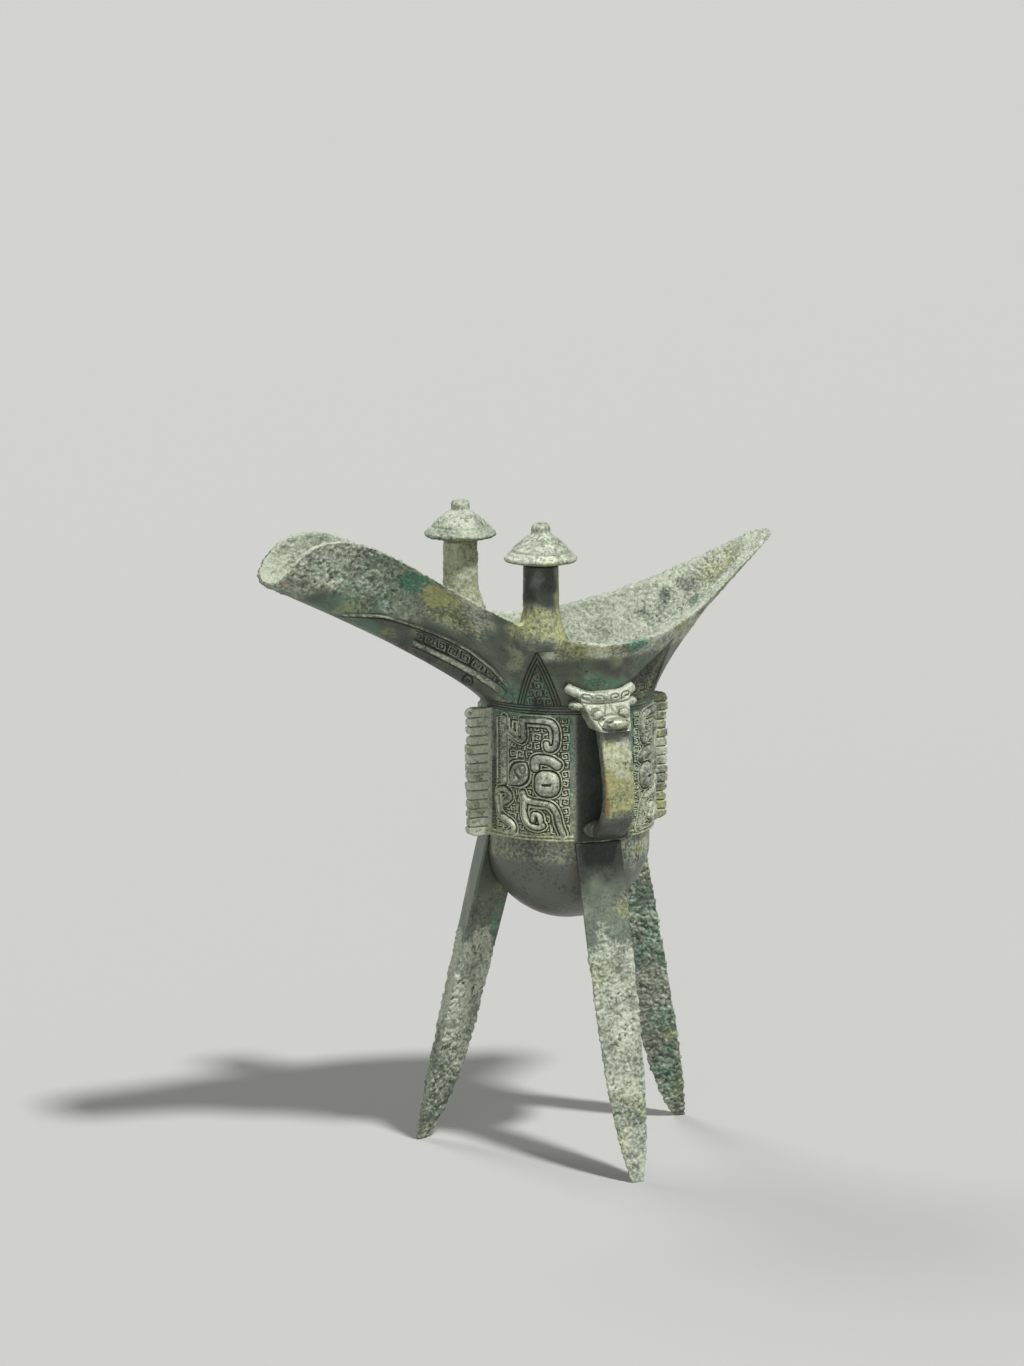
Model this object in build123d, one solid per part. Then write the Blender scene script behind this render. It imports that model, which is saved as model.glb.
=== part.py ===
from build123d import *
import os
from math import asin, cos, degrees, radians, sin

# A bronze jue: a ritual wine vessel on three blade legs.
#
# The belly is a round-bottomed cup. Above it the neck flares into a long channel spout on one side and a
# pointed tail on the other. Two capped posts straddle the rim, a strap handle with an ox head stands on the
# side, three notched flanges divide the relief frieze, and three triangular blades are the legs.
#
# The spout points to -X, the tail to +X, the handle to -Y, and +Z is up. The legs stand on Z = 0.

# Belly: the round-bottomed cup
BELLY_RADIUS = 25.3
BELLY_WALL = 2.5
BELLY_BOTTOM_Z = 73.0
# The bowl's curve is a little wider than the upright wall, which leaves a faint edge between them
BOWL_EASE = 0.35

# Frieze: the raised relief band round the belly
FRIEZE_BOTTOM_Z = 101.5
FRIEZE_HEIGHT = 39.0
FRIEZE_THICKNESS = 1.0
RELIEF_HEIGHT = 1.0
RELIEF_ROOT = 0.4
RELIEF_BAND = 2.0
RELIEF_ROUND = 1.05
EYE_RADIUS = 3.7
EYE_HEIGHT = 1.9
PUPIL_WIDTH = 0.7

# Mouth: neck, spout and tail are one flaring wall, cut along the rim
SPOUT_REACH = 99.3
SPOUT_TIP_Z = 182.6
TAIL_REACH = 67.8
TAIL_TIP_Z = 188.2
MOUTH_HALF_WIDTH = 35.0
MOUTH_LOW_Z = 163.3
SPOUT_HALF_WIDTH = 11.8
RIM_WALL = 2.0
RIM_WALL_RISE = 0.9
MOUTH_LEVELS = 9
MOUTH_TRIM_ROOM = 12.0
SPOUT_SEAM_X = -31.0
TAIL_SEAM_X = 30.0

# Rim lip: the thickened band outside the rim, from the posts round the tail
LIP_HEIGHT = 4.4
LIP_PROUD = 0.9

# Posts and their mushroom caps
POST_X = -22.3
POST_Y = 28.9
POST_RADIUS = 5.5
POST_FOOT_RADIUS = 8.0
POST_FOOT_DEPTH = 5.5
POST_FOOT_RISE = 6.0
POST_RIM_RISE = 4.4
POST_TOP_Z = 188.0
CAP_RADIUS = 10.9
CAP_EDGE_HEIGHT = 1.6
CAP_DOME_HEIGHT = 7.6
CAP_KNOB_RADIUS = 2.9
CAP_KNOB_HEIGHT = 3.2

# Strap handle and the animal head that tops it
STRAP_WIDTH = 9.8
STRAP_THICKNESS = 3.7
STRAP_STAND = 10.9
STRAP_BOTTOM_Z = 102.2
STRAP_EDGE_ROUND = 1.2
HEAD_BOTTOM_Z = 136.4
STRAP_PAD_WIDTH = 15.0
STRAP_PAD_HEIGHT = 6.5
STRAP_PAD_PROUD = 2.2
HEAD_HEIGHT = 11.6
HEAD_CHIN_WIDTH = 10.4
HEAD_BROW_WIDTH = 18.0
HEAD_BROW_STAND = 3.1
# The head leans a little towards the spout, and the horn on that side is the longer one. Each tip: its place
# across, how far it stands off the frieze, and its height
HEAD_LEAN = -1.4
HORN_TIPS = ((-12.6, -0.3, 149.6), (8.6, 0.5, 148.2))
SNOUT_STAND = 12.1
SNOUT_WIDTH = 8.6
EAR_SPAN = 22.5
EYE_SPAN = 8.2

# Flanges: notched fins on the spout, tail and back sides of the belly
FLANGE_STAND = 7.2
FLANGE_THICKNESS = 3.4
FLANGE_BOTTOM_Z = 101.0
FLANGE_NOTCHES = 13
FLANGE_NOTCH_WIDTH = 0.5
FLANGE_NOTCH_DEPTH = 0.4
FLANGE_CORNER = 2.0
FLANGES = {"spout_flange": 180.0, "tail_flange": 0.0, "back_flange": 90.0}
PANELS = {
    "frieze_spout_handle": (-1, -1),
    "frieze_tail_handle": (1, -1),
    "frieze_tail_back": (1, 1),
    "frieze_spout_back": (-1, 1),
}

# Legs: triangular blades that splay outwards
LEG_TOP_GAP = 0.1
LEG_TOP_Z = FLANGE_BOTTOM_Z - LEG_TOP_GAP
LEG_TOP_REACH = BELLY_RADIUS + 0.4
LEG_WIDTH = 16.2
LEG_DEPTH = 12.8
LEG_SHOULDER_Z = 34.0
LEG_SHOULDER_SHARE = 0.86
FOOT_WIDTH = 4.2
FOOT_DEPTH = 3.4
LEG_EDGE_SHARE = 0.035
# Each leg: the angle where it leaves the belly, the way its flat face looks, and its foot's angle and radius
LEGS = {
    "handle_leg": (-94.0, -91.0, -90.0, 48.8),
    "spout_leg": (158.0, 164.0, 146.0, 48.0),
    "tail_leg": (20.0, 14.0, 19.0, 50.6),
}

# The mask's raised bands on the quarter between a flange and the handle, unrolled flat: each point is the
# distance round the belly from the flange's middle, and the height above the frieze's lower edge. They are
# drawn for a frieze of the radius given first, and stretch with the real one
MASK_RADIUS = 26.3
MASK_EYE = (23.5, 17.8)
MASK_BANDS = (
    ((8.8, 17.2), (8.8, 36.9)),
    ((10.0, 32.9), (13.7, 30.8), (16.6, 30.8), (15.6, 37.2), (24.8, 37.2), (26.6, 33.6), (25.9, 28.6),
     (23.2, 28.6)),
    ((19.6, 22.6), (19.4, 25.4), (24.2, 25.4), (26.8, 23.4)),
    ((11.6, 23.8), (12.4, 18.6), (15.4, 16.8), (17.2, 19.4), (14.4, 22.8)),
    ((15.5, 14.6), (16.8, 12.0), (24.6, 12.0), (26.6, 9.0), (27.0, 5.0), (28.4, 2.4)),
    ((16.2, 11.0), (16.2, 6.4), (19.4, 4.0), (22.6, 5.0), (21.8, 8.4), (18.8, 8.2)),
    ((9.2, 11.0), (11.2, 13.0), (8.2, 15.0), (5.4, 14.4), (6.2, 7.6), (8.8, 5.8), (12.0, 4.8), (12.7, 2.2)),
)
# At the back, with no handle in the way, the mask goes on to its nose and brow beside the back flange
MASK_NOSE_BANDS = (
    ((31.6, 2.6), (31.6, 11.6), (37.4, 11.6), (37.4, 4.0), (34.6, 4.0)),
    ((31.6, 16.0), (37.4, 16.0), (37.4, 36.8), (31.6, 36.8), (31.6, 28.0)),
)

NECK_Z = FRIEZE_BOTTOM_Z + FRIEZE_HEIGHT
NECK_RADIUS = BELLY_RADIUS + FRIEZE_THICKNESS
BELLY_BORE = BELLY_RADIUS - BELLY_WALL
BOWL_RADIUS = BELLY_RADIUS + BOWL_EASE
STRAP_REACH = NECK_RADIUS + STRAP_STAND
HEAD_BROW_REACH = NECK_RADIUS + HEAD_BROW_STAND
SNOUT_REACH = NECK_RADIUS + SNOUT_STAND
FLANGE_REACH = NECK_RADIUS + FLANGE_STAND
CAP_TOP_Z = POST_TOP_Z + CAP_EDGE_HEIGHT + CAP_DOME_HEIGHT + CAP_KNOB_HEIGHT
MOUTH_TOP_Z = CAP_TOP_Z

# The ribs of the mouth wall, from the spout's nose to the tail. Each leaves the belly at an angle and meets
# the rim at a point; between them it climbs as a power of the height: upright at first, then sweeping out.
# Columns: angle at the belly, rim x, rim y, rim z, power
RIBS = (
    (180.0, -SPOUT_REACH, 0.0, SPOUT_TIP_Z, 1.24),
    (168.0, -0.90 * SPOUT_REACH, SPOUT_HALF_WIDTH, SPOUT_TIP_Z + 11.5, 1.24),
    (152.0, -0.63 * SPOUT_REACH, 1.40 * SPOUT_HALF_WIDTH, SPOUT_TIP_Z + 7.4, 1.25),
    (138.0, -0.48 * SPOUT_REACH, 0.70 * MOUTH_HALF_WIDTH, MOUTH_LOW_Z + 17.0, 1.28),
    (122.0, -0.34 * SPOUT_REACH, 0.83 * MOUTH_HALF_WIDTH, MOUTH_LOW_Z + 9.0, 1.35),
    (92.0, -6.0, MOUTH_HALF_WIDTH, MOUTH_LOW_Z, 1.50),
    (46.0, 0.48 * TAIL_REACH, 0.70 * MOUTH_HALF_WIDTH, MOUTH_LOW_Z + 6.7, 1.40),
    (22.0, 0.78 * TAIL_REACH, 0.36 * MOUTH_HALF_WIDTH, TAIL_TIP_Z - 8.2, 1.32),
    (0.0, TAIL_REACH, 0.0, TAIL_TIP_Z, 1.25),
)


def rib_point(rib, z):
    """Where a rib of the mouth wall is at height z."""
    angle, rim_x, rim_y, rim_z, power = rib
    share = (max(z - NECK_Z, 0.0) / (rim_z - NECK_Z)) ** power
    start_x = NECK_RADIUS * cos(radians(angle))
    start_y = NECK_RADIUS * sin(radians(angle))
    return Vector(start_x + (rim_x - start_x) * share, start_y + (rim_y - start_y) * share)


def mouth_section(z, inset=0.0, drop=0.0):
    """The mouth wall's outline at height z, moved inwards by inset, with its ribs taken drop lower."""
    half = [rib_point(rib, z - drop) for rib in RIBS]
    moved = []
    for i, point in enumerate(half):
        before = half[i - 1] if i else Vector(half[1].X, -half[1].Y)
        after = half[i + 1] if i + 1 < len(half) else Vector(half[-2].X, -half[-2].Y)
        along = (after - before).normalized()
        moved.append(point + Vector(along.Y, -along.X) * inset)
    across = Vector(0, 1)
    upper = Spline(*moved, tangents=(across, -across))
    lower = mirror(upper, about=Plane.XZ)
    return Pos(0, 0, z) * make_face(Wire([*upper.edges(), *lower.edges()]))


def mouth_solid(bottom_z, top_z, inset=0.0, inset_top=None, drop=0.0):
    """The mouth as a solid block between two heights, with its wall moved inwards by inset."""
    inset_top = inset if inset_top is None else inset_top
    sections = []
    for i in range(MOUTH_LEVELS + 1):
        share = i / MOUTH_LEVELS
        z = bottom_z + (top_z - bottom_z) * share
        sections.append(mouth_section(z, inset + (inset_top - inset) * min(1.0, 3 * share), drop))
    return loft(sections)


def rim_line(lower=0.0):
    """The rim seen from the side, as a curve in XZ, carried past both ends."""
    points = [(rib[1], rib[3] - lower) for rib in RIBS]
    nose, cheek, throat = points[0], points[1], points[2]
    peak = (0.5 * (cheek[0] + throat[0]) - 6.0, cheek[1] + 2.0)
    before = (nose[0] - 4.0, nose[1] - 6.0)
    after = (points[-1][0] + MOUTH_TRIM_ROOM, points[-1][1] + 0.55 * MOUTH_TRIM_ROOM)
    return [before, nose, cheek, peak, *points[2:], after]


def below_rim(lower=0.0):
    """Everything under the rim line, as a block across the whole width of the mouth."""
    line = rim_line(lower)
    with_z = [Vector(x, 0, z) for x, z in line]
    floor_z = NECK_Z - MOUTH_TRIM_ROOM
    curve = Spline(*with_z)
    closing = Polyline(with_z[-1], (line[-1][0], 0, floor_z), (line[0][0], 0, floor_z), with_z[0])
    face = make_face(Wire([*curve.edges(), *closing.edges()]))
    return extrude(face, amount=2 * MOUTH_HALF_WIDTH, dir=(0, 1, 0), both=True)


def block(low, high):
    """A box between two corners."""
    size = [h - l for l, h in zip(low, high)]
    centre = [(h + l) / 2 for l, h in zip(low, high)]
    return Pos(*centre) * Box(*size)


def ring(inner, outer, bottom_z, top_z):
    """A round band standing on the belly's axis."""
    height = top_z - bottom_z
    return Pos(0, 0, bottom_z) * (extrude(Circle(outer) - Circle(inner), amount=height))


def make_belly():
    """The cup, and the same cup without its hollow: an upright wall on a bowl, with a faint edge between."""
    centre_z = BELLY_BOTTOM_Z + BOWL_RADIUS

    def bullet(radius, bowl):
        edge = asin(radius / bowl)
        on_bowl = [(bowl * sin(turn), 0, centre_z - bowl * cos(turn)) for turn in (0, edge / 2, edge)]
        curve = ThreePointArc(*on_bowl)
        wall = Polyline(on_bowl[2], (radius, 0, NECK_Z), (0, 0, NECK_Z), on_bowl[0])
        return revolve(make_face(Wire([*curve.edges(), *wall.edges()])), Axis.Z)

    whole = bullet(BELLY_RADIUS, BOWL_RADIUS)
    return whole - bullet(BELLY_BORE, BOWL_RADIUS - BELLY_WALL), whole


def make_mouth():
    """Neck, spout, tail and rim lip, all cut from the one flaring wall."""
    below = below_rim()
    outside = mouth_solid(NECK_Z, MOUTH_TOP_Z)
    inside = mouth_solid(NECK_Z, MOUTH_TOP_Z, NECK_RADIUS - BELLY_BORE, RIM_WALL, RIM_WALL_RISE)
    wall = (outside - inside) & below
    far = 3 * (SPOUT_REACH + TAIL_REACH)
    spout_room = block((-far, -far, 0), (SPOUT_SEAM_X, far, far))
    tail_room = block((TAIL_SEAM_X, -far, 0), (far, far, far))
    neck = wall - spout_room - tail_room
    proud = mouth_solid(NECK_Z, MOUTH_TOP_Z, -LIP_PROUD)
    lip = ((proud - outside) & below) - below_rim(LIP_HEIGHT) - spout_room
    return {"neck": neck, "spout": wall & spout_room, "tail": wall & tail_room, "rim_lip": lip}, outside


def column(profile, x, y):
    """A turned piece from its half profile (radius, height), standing at x, y."""
    points = [(0, 0, profile[0][1]), *[(r, 0, z) for r, z in profile], (0, 0, profile[-1][1])]
    return Pos(x, y, 0) * revolve(make_face(Polyline(*points, close=True)), Axis.Z)


def make_post(side, neck, lip):
    """A post whose forked foot straddles the rim; side is -1 at the handle and +1 at the back."""
    rim_z = MOUTH_LOW_Z + POST_RIM_RISE
    profile = (
        (0.85 * POST_FOOT_RADIUS, rim_z - POST_FOOT_DEPTH),
        (POST_FOOT_RADIUS, rim_z - 0.4 * POST_FOOT_DEPTH),
        (0.5 * (POST_FOOT_RADIUS + POST_RADIUS), rim_z + 0.2 * POST_FOOT_RISE),
        (POST_RADIUS, rim_z + POST_FOOT_RISE),
        (0.96 * POST_RADIUS, POST_TOP_Z),
    )
    return column(profile, POST_X, side * POST_Y) - neck - lip


def make_cap(side):
    """The mushroom cap on a post: a domed cone over a thin edge, with a knob on top."""
    edge_z = POST_TOP_Z + CAP_EDGE_HEIGHT
    dome_z = edge_z + CAP_DOME_HEIGHT
    seat = 1.1 * POST_RADIUS
    under = Polyline((0, 0, POST_TOP_Z), (seat, 0, POST_TOP_Z), (CAP_RADIUS - 0.8, 0, edge_z - 0.8))
    edge = ThreePointArc(under @ 1, (CAP_RADIUS, 0, edge_z), (CAP_RADIUS - 0.6, 0, edge_z + 0.9))
    shoulder = (0.62 * CAP_RADIUS, 0, edge_z + 0.62 * CAP_DOME_HEIGHT)
    dome = Spline(edge @ 1, shoulder, (CAP_KNOB_RADIUS, 0, dome_z))
    knob = Polyline(dome @ 1, (CAP_KNOB_RADIUS, 0, CAP_TOP_Z), (0, 0, CAP_TOP_Z), under @ 0)
    outline = [under, edge, dome, knob]
    cap = revolve(make_face(Wire([e for line in outline for e in line.edges()])), Axis.Z)
    cap = fillet(cap.edges().group_by(Axis.Z)[-1], 0.6 * CAP_KNOB_RADIUS)
    return Pos(POST_X, side * POST_Y, 0) * cap


def make_strap():
    """The strap handle: its side outline in YZ, carried across its width, seated on the frieze."""
    inside = BELLY_RADIUS - 1.0
    mid_z = 0.45 * STRAP_BOTTOM_Z + 0.55 * HEAD_BOTTOM_Z
    reach, inner = STRAP_REACH, STRAP_REACH - STRAP_THICKNESS
    outer_line = Spline(
        (0, -0.92 * reach, HEAD_BOTTOM_Z),
        (0, -reach, mid_z),
        (0, -0.955 * reach, STRAP_BOTTOM_Z + 6.0),
        (0, -0.80 * reach, STRAP_BOTTOM_Z + 0.8),
        (0, -inside, STRAP_BOTTOM_Z),
    )
    foot_z = STRAP_BOTTOM_Z + STRAP_THICKNESS
    inner_line = Spline(
        (0, -inside, foot_z),
        (0, -0.86 * inner, foot_z + 1.2),
        (0, -0.96 * inner, foot_z + 4.6),
        (0, -inner, mid_z),
        (0, -0.87 * inner, HEAD_BOTTOM_Z),
    )
    foot = Line(outer_line @ 1, inner_line @ 0)
    top = Line(inner_line @ 1, outer_line @ 0)
    outline = [outer_line, foot, inner_line, top]
    face = make_face(Wire([e for line in outline for e in line.edges()]))
    strap = extrude(face, amount=STRAP_WIDTH / 2, dir=(1, 0, 0), both=True)
    strap = fillet(strap.edges().filter_by(GeomType.BSPLINE), STRAP_EDGE_ROUND)
    pad_middle_z = STRAP_BOTTOM_Z + STRAP_PAD_HEIGHT / 2
    pad_outline = Pos(0, pad_middle_z) * Ellipse(STRAP_PAD_WIDTH / 2, STRAP_PAD_HEIGHT / 2)
    pad = extrude(Plane.XZ * pad_outline, amount=NECK_RADIUS + STRAP_PAD_PROUD)
    pad &= Cylinder(NECK_RADIUS + STRAP_PAD_PROUD, 3 * NECK_Z)
    return (strap + pad) - Cylinder(NECK_RADIUS, 3 * NECK_Z)


def ball(x, y, z, rx, ry, rz, tilt=0.0):
    """An egg-shaped lump with three radii, tipped about X."""
    return Pos(x, y, z) * Rot(tilt, 0, 0) * scale(Sphere(1.0), by=(rx, ry, rz))


def make_head(mouth_block):
    """The ox head on top of the strap: a face that leans back, with a snout, eyes, ears and horns."""
    inside = BELLY_RADIUS - 1.0

    def spot(share):
        return HEAD_LEAN * share, HEAD_BOTTOM_Z + share * HEAD_HEIGHT

    def level(share, width, reach):
        depth = reach - inside
        x, z = spot(share)
        return Pos(x, -(reach + inside) / 2, z) * RectangleRounded(width, depth, 0.18 * depth)

    middle_width = 0.5 * (HEAD_CHIN_WIDTH + HEAD_BROW_WIDTH)
    middle_reach = 0.24 * SNOUT_REACH + 0.76 * HEAD_BROW_REACH
    chin_reach = SNOUT_REACH - 2.6
    head = loft([
        level(0.0, HEAD_CHIN_WIDTH, chin_reach),
        level(0.45, middle_width, middle_reach),
        level(1.0, HEAD_BROW_WIDTH, HEAD_BROW_REACH),
    ])
    snout_x, snout_z = spot(0.23)
    head += ball(snout_x, 2.9 - SNOUT_REACH, snout_z, SNOUT_WIDTH / 2, 2.9, 1.9)
    eye_x, eye_z = spot(0.43)
    ear_x, ear_z = spot(0.64)
    brow_x, brow_z = spot(0.86)
    for side, (tip_x, tip_stand, tip_z) in zip((-1, 1), HORN_TIPS):
        head += ball(eye_x + side * EYE_SPAN / 2, 0.3 - middle_reach, eye_z, 2.1, 1.9, 1.6)
        head += ball(ear_x + side * (EAR_SPAN / 2 - 3.2), 2.6 - HEAD_BROW_REACH, ear_z, 3.2, 2.4, 1.6)
        brow = (brow_x, 0.2 - HEAD_BROW_REACH, brow_z)
        bend = (brow_x + side * 0.3 * HEAD_BROW_WIDTH, 0.5 - HEAD_BROW_REACH, brow_z + 0.3)
        horn = Spline(brow, bend, (tip_x, -NECK_RADIUS - tip_stand, tip_z))
        head += sweep(Plane(origin=horn @ 0, z_dir=horn % 0) * Ellipse(1.5, 1.8), path=horn)
    return head - Cylinder(NECK_RADIUS, 2 * NECK_Z) - mouth_block


def make_flange(angle):
    """A notched fin on the belly, looking out at an angle."""
    top_z = NECK_Z
    inside = BELLY_RADIUS - 1.5
    outline = Polyline(
        (inside, 0, FLANGE_BOTTOM_Z),
        (FLANGE_REACH, 0, FLANGE_BOTTOM_Z),
        (FLANGE_REACH, 0, top_z),
        (inside, 0, top_z),
        close=True,
    )
    plate = extrude(make_face(outline), amount=FLANGE_THICKNESS / 2, dir=(0, 1, 0), both=True)
    corners = plate.edges().filter_by(Axis.Y).group_by(Axis.X)[-1]
    plate = fillet(corners, FLANGE_CORNER)
    core = block(
        (0, FLANGE_NOTCH_DEPTH - FLANGE_THICKNESS / 2, 0),
        (FLANGE_REACH - FLANGE_NOTCH_DEPTH, FLANGE_THICKNESS / 2 - FLANGE_NOTCH_DEPTH, 2 * top_z),
    )
    pitch = (top_z - FLANGE_BOTTOM_Z) / (FLANGE_NOTCHES + 1)
    slots = []
    for i in range(FLANGE_NOTCHES):
        z = FLANGE_BOTTOM_Z + pitch * (i + 1)
        low = (NECK_RADIUS + 0.8, -FLANGE_THICKNESS, z - FLANGE_NOTCH_WIDTH / 2)
        high = (2 * FLANGE_REACH, FLANGE_THICKNESS, z + FLANGE_NOTCH_WIDTH / 2)
        slots.append(block(low, high) - core)
    return Rot(0, 0, angle) * (plate - slots - Cylinder(BELLY_RADIUS, 2 * top_z))


def make_leg(belly_block, leave_angle, face_angle, foot_angle, foot_radius):
    """A blade leg: rounded triangles with the flat outwards, from the belly down to a small foot."""
    top = Vector(LEG_TOP_REACH, 0).rotate(Axis.Z, leave_angle)
    foot = Vector(foot_radius, 0).rotate(Axis.Z, foot_angle)
    shares = (
        (LEG_TOP_Z, LEG_WIDTH, LEG_DEPTH),
        (0.5 * (LEG_TOP_Z + LEG_SHOULDER_Z), 0.97 * LEG_WIDTH, 0.95 * LEG_DEPTH),
        (LEG_SHOULDER_Z, LEG_SHOULDER_SHARE * LEG_WIDTH, LEG_SHOULDER_SHARE * LEG_DEPTH),
        (0.32 * LEG_SHOULDER_Z, 0.5 * (LEG_SHOULDER_SHARE * LEG_WIDTH + FOOT_WIDTH), 0.6 * LEG_DEPTH),
        (0.0, FOOT_WIDTH, FOOT_DEPTH),
    )
    sections = []
    for z, width, depth in shares:
        place = foot + (top - foot) * (z / LEG_TOP_Z)
        blade = Polyline((0, -width / 2), (0, width / 2), (-depth, 0), close=True)
        face = make_face(blade)
        face = fillet(face.vertices(), LEG_EDGE_SHARE * width)
        sections.append(Pos(place.X, place.Y, z) * Rot(0, 0, face_angle) * face)
    return loft(sections) - belly_block


def wrapped_bands(bands):
    """Raised bands on the belly from their unrolled lines, from the spout flange towards the handle."""
    arcs = [arc for band in bands for arc, _ in band]
    middle = 0.5 * (min(arcs) + max(arcs))
    drawing = Sketch()
    for band in bands:
        points = [(NECK_RADIUS * sin((arc - middle) / MASK_RADIUS), height) for arc, height in band]
        line = FilletPolyline(*points, radius=RELIEF_ROUND) if len(points) > 2 else Line(*points)
        drawing += trace(line, RELIEF_BAND)
    outwards = Vector(1, 0).rotate(Axis.Z, 180 + degrees(middle / MASK_RADIUS))
    plane = Plane(origin=(0, 0, FRIEZE_BOTTOM_Z), x_dir=Vector(0, 0, 1).cross(outwards), z_dir=outwards)
    raised = extrude(plane * drawing, amount=2 * NECK_RADIUS)
    return raised & ring(NECK_RADIUS - RELIEF_ROOT, NECK_RADIUS + RELIEF_HEIGHT, FRIEZE_BOTTOM_Z, NECK_Z)


def make_eye():
    """The mask's eye: a low dome on the frieze with a slit for its pupil."""
    arc, height = MASK_EYE
    dome_radius = (EYE_RADIUS**2 + EYE_HEIGHT**2) / (2 * EYE_HEIGHT)
    out = NECK_RADIUS + EYE_HEIGHT
    dome = Pos(out - dome_radius, 0, 0) * Sphere(dome_radius)
    slit = Pos(out, 0, 0) * Box(EYE_HEIGHT, EYE_RADIUS, PUPIL_WIDTH)
    eye = Pos(0, 0, FRIEZE_BOTTOM_Z + height) * Rot(0, 0, 180 + degrees(arc / MASK_RADIUS)) * (dome - slit)
    return eye & ring(NECK_RADIUS - RELIEF_ROOT, 2 * NECK_RADIUS, FRIEZE_BOTTOM_Z, NECK_Z)


def make_panel(side_x, side_y, flanges):
    """A quarter of the frieze: a thin curved plate on the belly, with half a mask raised on it."""
    far = 2 * NECK_RADIUS
    low = (min(0, side_x * far), min(0, side_y * far), 0)
    high = (max(0, side_x * far), max(0, side_y * far), 2 * NECK_Z)
    panel = ring(BELLY_RADIUS, NECK_RADIUS, FRIEZE_BOTTOM_Z, NECK_Z) & block(low, high)
    for angle in flanges:
        room = block((0, -FLANGE_THICKNESS / 2, 0), (far, FLANGE_THICKNESS / 2, 2 * NECK_Z))
        panel -= Rot(0, 0, angle) * room
    mask = wrapped_bands(MASK_BANDS) + make_eye()
    if side_y > 0:
        mask = mirror(mask + wrapped_bands(MASK_NOSE_BANDS), about=Plane.XZ)
    if side_x > 0:
        mask = mirror(mask, about=Plane.YZ)
    return panel + mask


def make_vessel():
    """Every piece by name, on the belly's own axis."""
    belly, belly_block = make_belly()
    mouth, mouth_block = make_mouth()
    pieces = {"belly": belly, **mouth}
    for name, side in (("handle_post", -1), ("back_post", 1)):
        pieces[name] = make_post(side, mouth["neck"], mouth["rim_lip"])
        pieces[f"{name}_cap"] = make_cap(side)
    pieces["handle_strap"] = make_strap()
    pieces["handle_head"] = make_head(mouth_block)
    for name, angle in FLANGES.items():
        pieces[name] = make_flange(angle)
    for name, (side_x, side_y) in PANELS.items():
        pieces[name] = make_panel(side_x, side_y, FLANGES.values())
    for name, stance in LEGS.items():
        pieces[name] = make_leg(belly_block, *stance)
    return pieces


os.makedirs("parts", exist_ok=True)
vessel = make_vessel()
bounds = Compound(children=[Part() + piece for piece in vessel.values()]).bounding_box()
to_centre = Pos(-bounds.center().X, -bounds.center().Y, -bounds.min.Z)
print("cup axis at", to_centre.position)
for name, piece in vessel.items():
    piece = to_centre * piece
    print(name, len(piece.solids()), round(piece.volume, 1), piece.bounding_box())
    export_step(piece, f"parts/{name}.step")
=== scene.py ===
# %% [markdown]
# # A bronze jue
# A jue is a small bronze wine vessel on three blade legs. It was cast in one pour, in a mould of clay pieces
# that carried the ornament, and then lay in the ground until its skin turned green and grainy. This lesson
# takes the plain solids of the vessel and gives each one its carving, its corroded skin and its colours.

# %% Load the vessel
from math import cos, pi, radians, sin

import bmesh
import bpy
import numpy as np
from mathutils import Matrix, Vector


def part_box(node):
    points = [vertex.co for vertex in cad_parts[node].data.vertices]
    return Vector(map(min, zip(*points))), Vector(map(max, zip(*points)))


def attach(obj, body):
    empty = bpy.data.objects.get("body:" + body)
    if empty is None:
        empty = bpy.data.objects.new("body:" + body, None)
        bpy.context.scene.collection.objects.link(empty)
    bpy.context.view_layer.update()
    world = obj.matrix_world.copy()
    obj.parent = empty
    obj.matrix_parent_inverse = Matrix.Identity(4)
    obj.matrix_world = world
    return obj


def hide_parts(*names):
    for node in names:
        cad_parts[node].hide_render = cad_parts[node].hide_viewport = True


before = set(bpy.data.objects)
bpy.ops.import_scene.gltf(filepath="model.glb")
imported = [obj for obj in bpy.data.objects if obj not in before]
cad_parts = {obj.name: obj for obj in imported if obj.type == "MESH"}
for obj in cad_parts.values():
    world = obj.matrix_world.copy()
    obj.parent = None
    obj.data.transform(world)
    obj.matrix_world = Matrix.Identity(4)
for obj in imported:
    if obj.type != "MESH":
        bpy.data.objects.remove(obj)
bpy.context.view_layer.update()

MM = 0.001
belly_low, belly_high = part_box("belly")
cup_axis = np.array([(belly_low.x + belly_high.x) / 2, (belly_low.y + belly_high.y) / 2, 0.0]) / MM

# %% [markdown]
# The camera stands a metre and a half away with a long lens, a little above the rim, and looks at the side
# with the handle. Its place and lens come from matching the vessel's edges to the photograph. A camera looks
# along its own -Z, so the matrix is filled with its right, up and back directions as columns.

# %% Camera
TURN, DIP, ROLL = radians(-25.0), radians(10.023), radians(-0.282)
CAMERA_AT = np.array([-636.1, -1324.5, 405.4])
SENSOR = 36.0
# the focal length and the picture's height, both in the photograph's pixels
FOCAL_PIXELS, HEIGHT_PIXELS = 4874, 1366

back = Vector((sin(TURN) * cos(DIP), -cos(TURN) * cos(DIP), sin(DIP)))
level = Vector((cos(TURN), sin(TURN), 0.0))
rise = back.cross(level)
right = level * cos(ROLL) + rise * sin(ROLL)
above = rise * cos(ROLL) - level * sin(ROLL)
lens = bpy.data.cameras.new("camera")
lens.sensor_fit = "VERTICAL"
lens.sensor_height = SENSOR
lens.lens = SENSOR * FOCAL_PIXELS / HEIGHT_PIXELS
lens.clip_start, lens.clip_end = 0.05, 50.0
camera = bpy.data.objects.new("camera", lens)
bpy.context.scene.collection.objects.link(camera)
place = Matrix((right, above, back)).transposed().to_4x4()
place.translation = Vector(CAMERA_AT + cup_axis) * MM
camera.matrix_world = place
bpy.context.scene.camera = camera
print("lens", round(lens.lens, 1), "mm")

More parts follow.
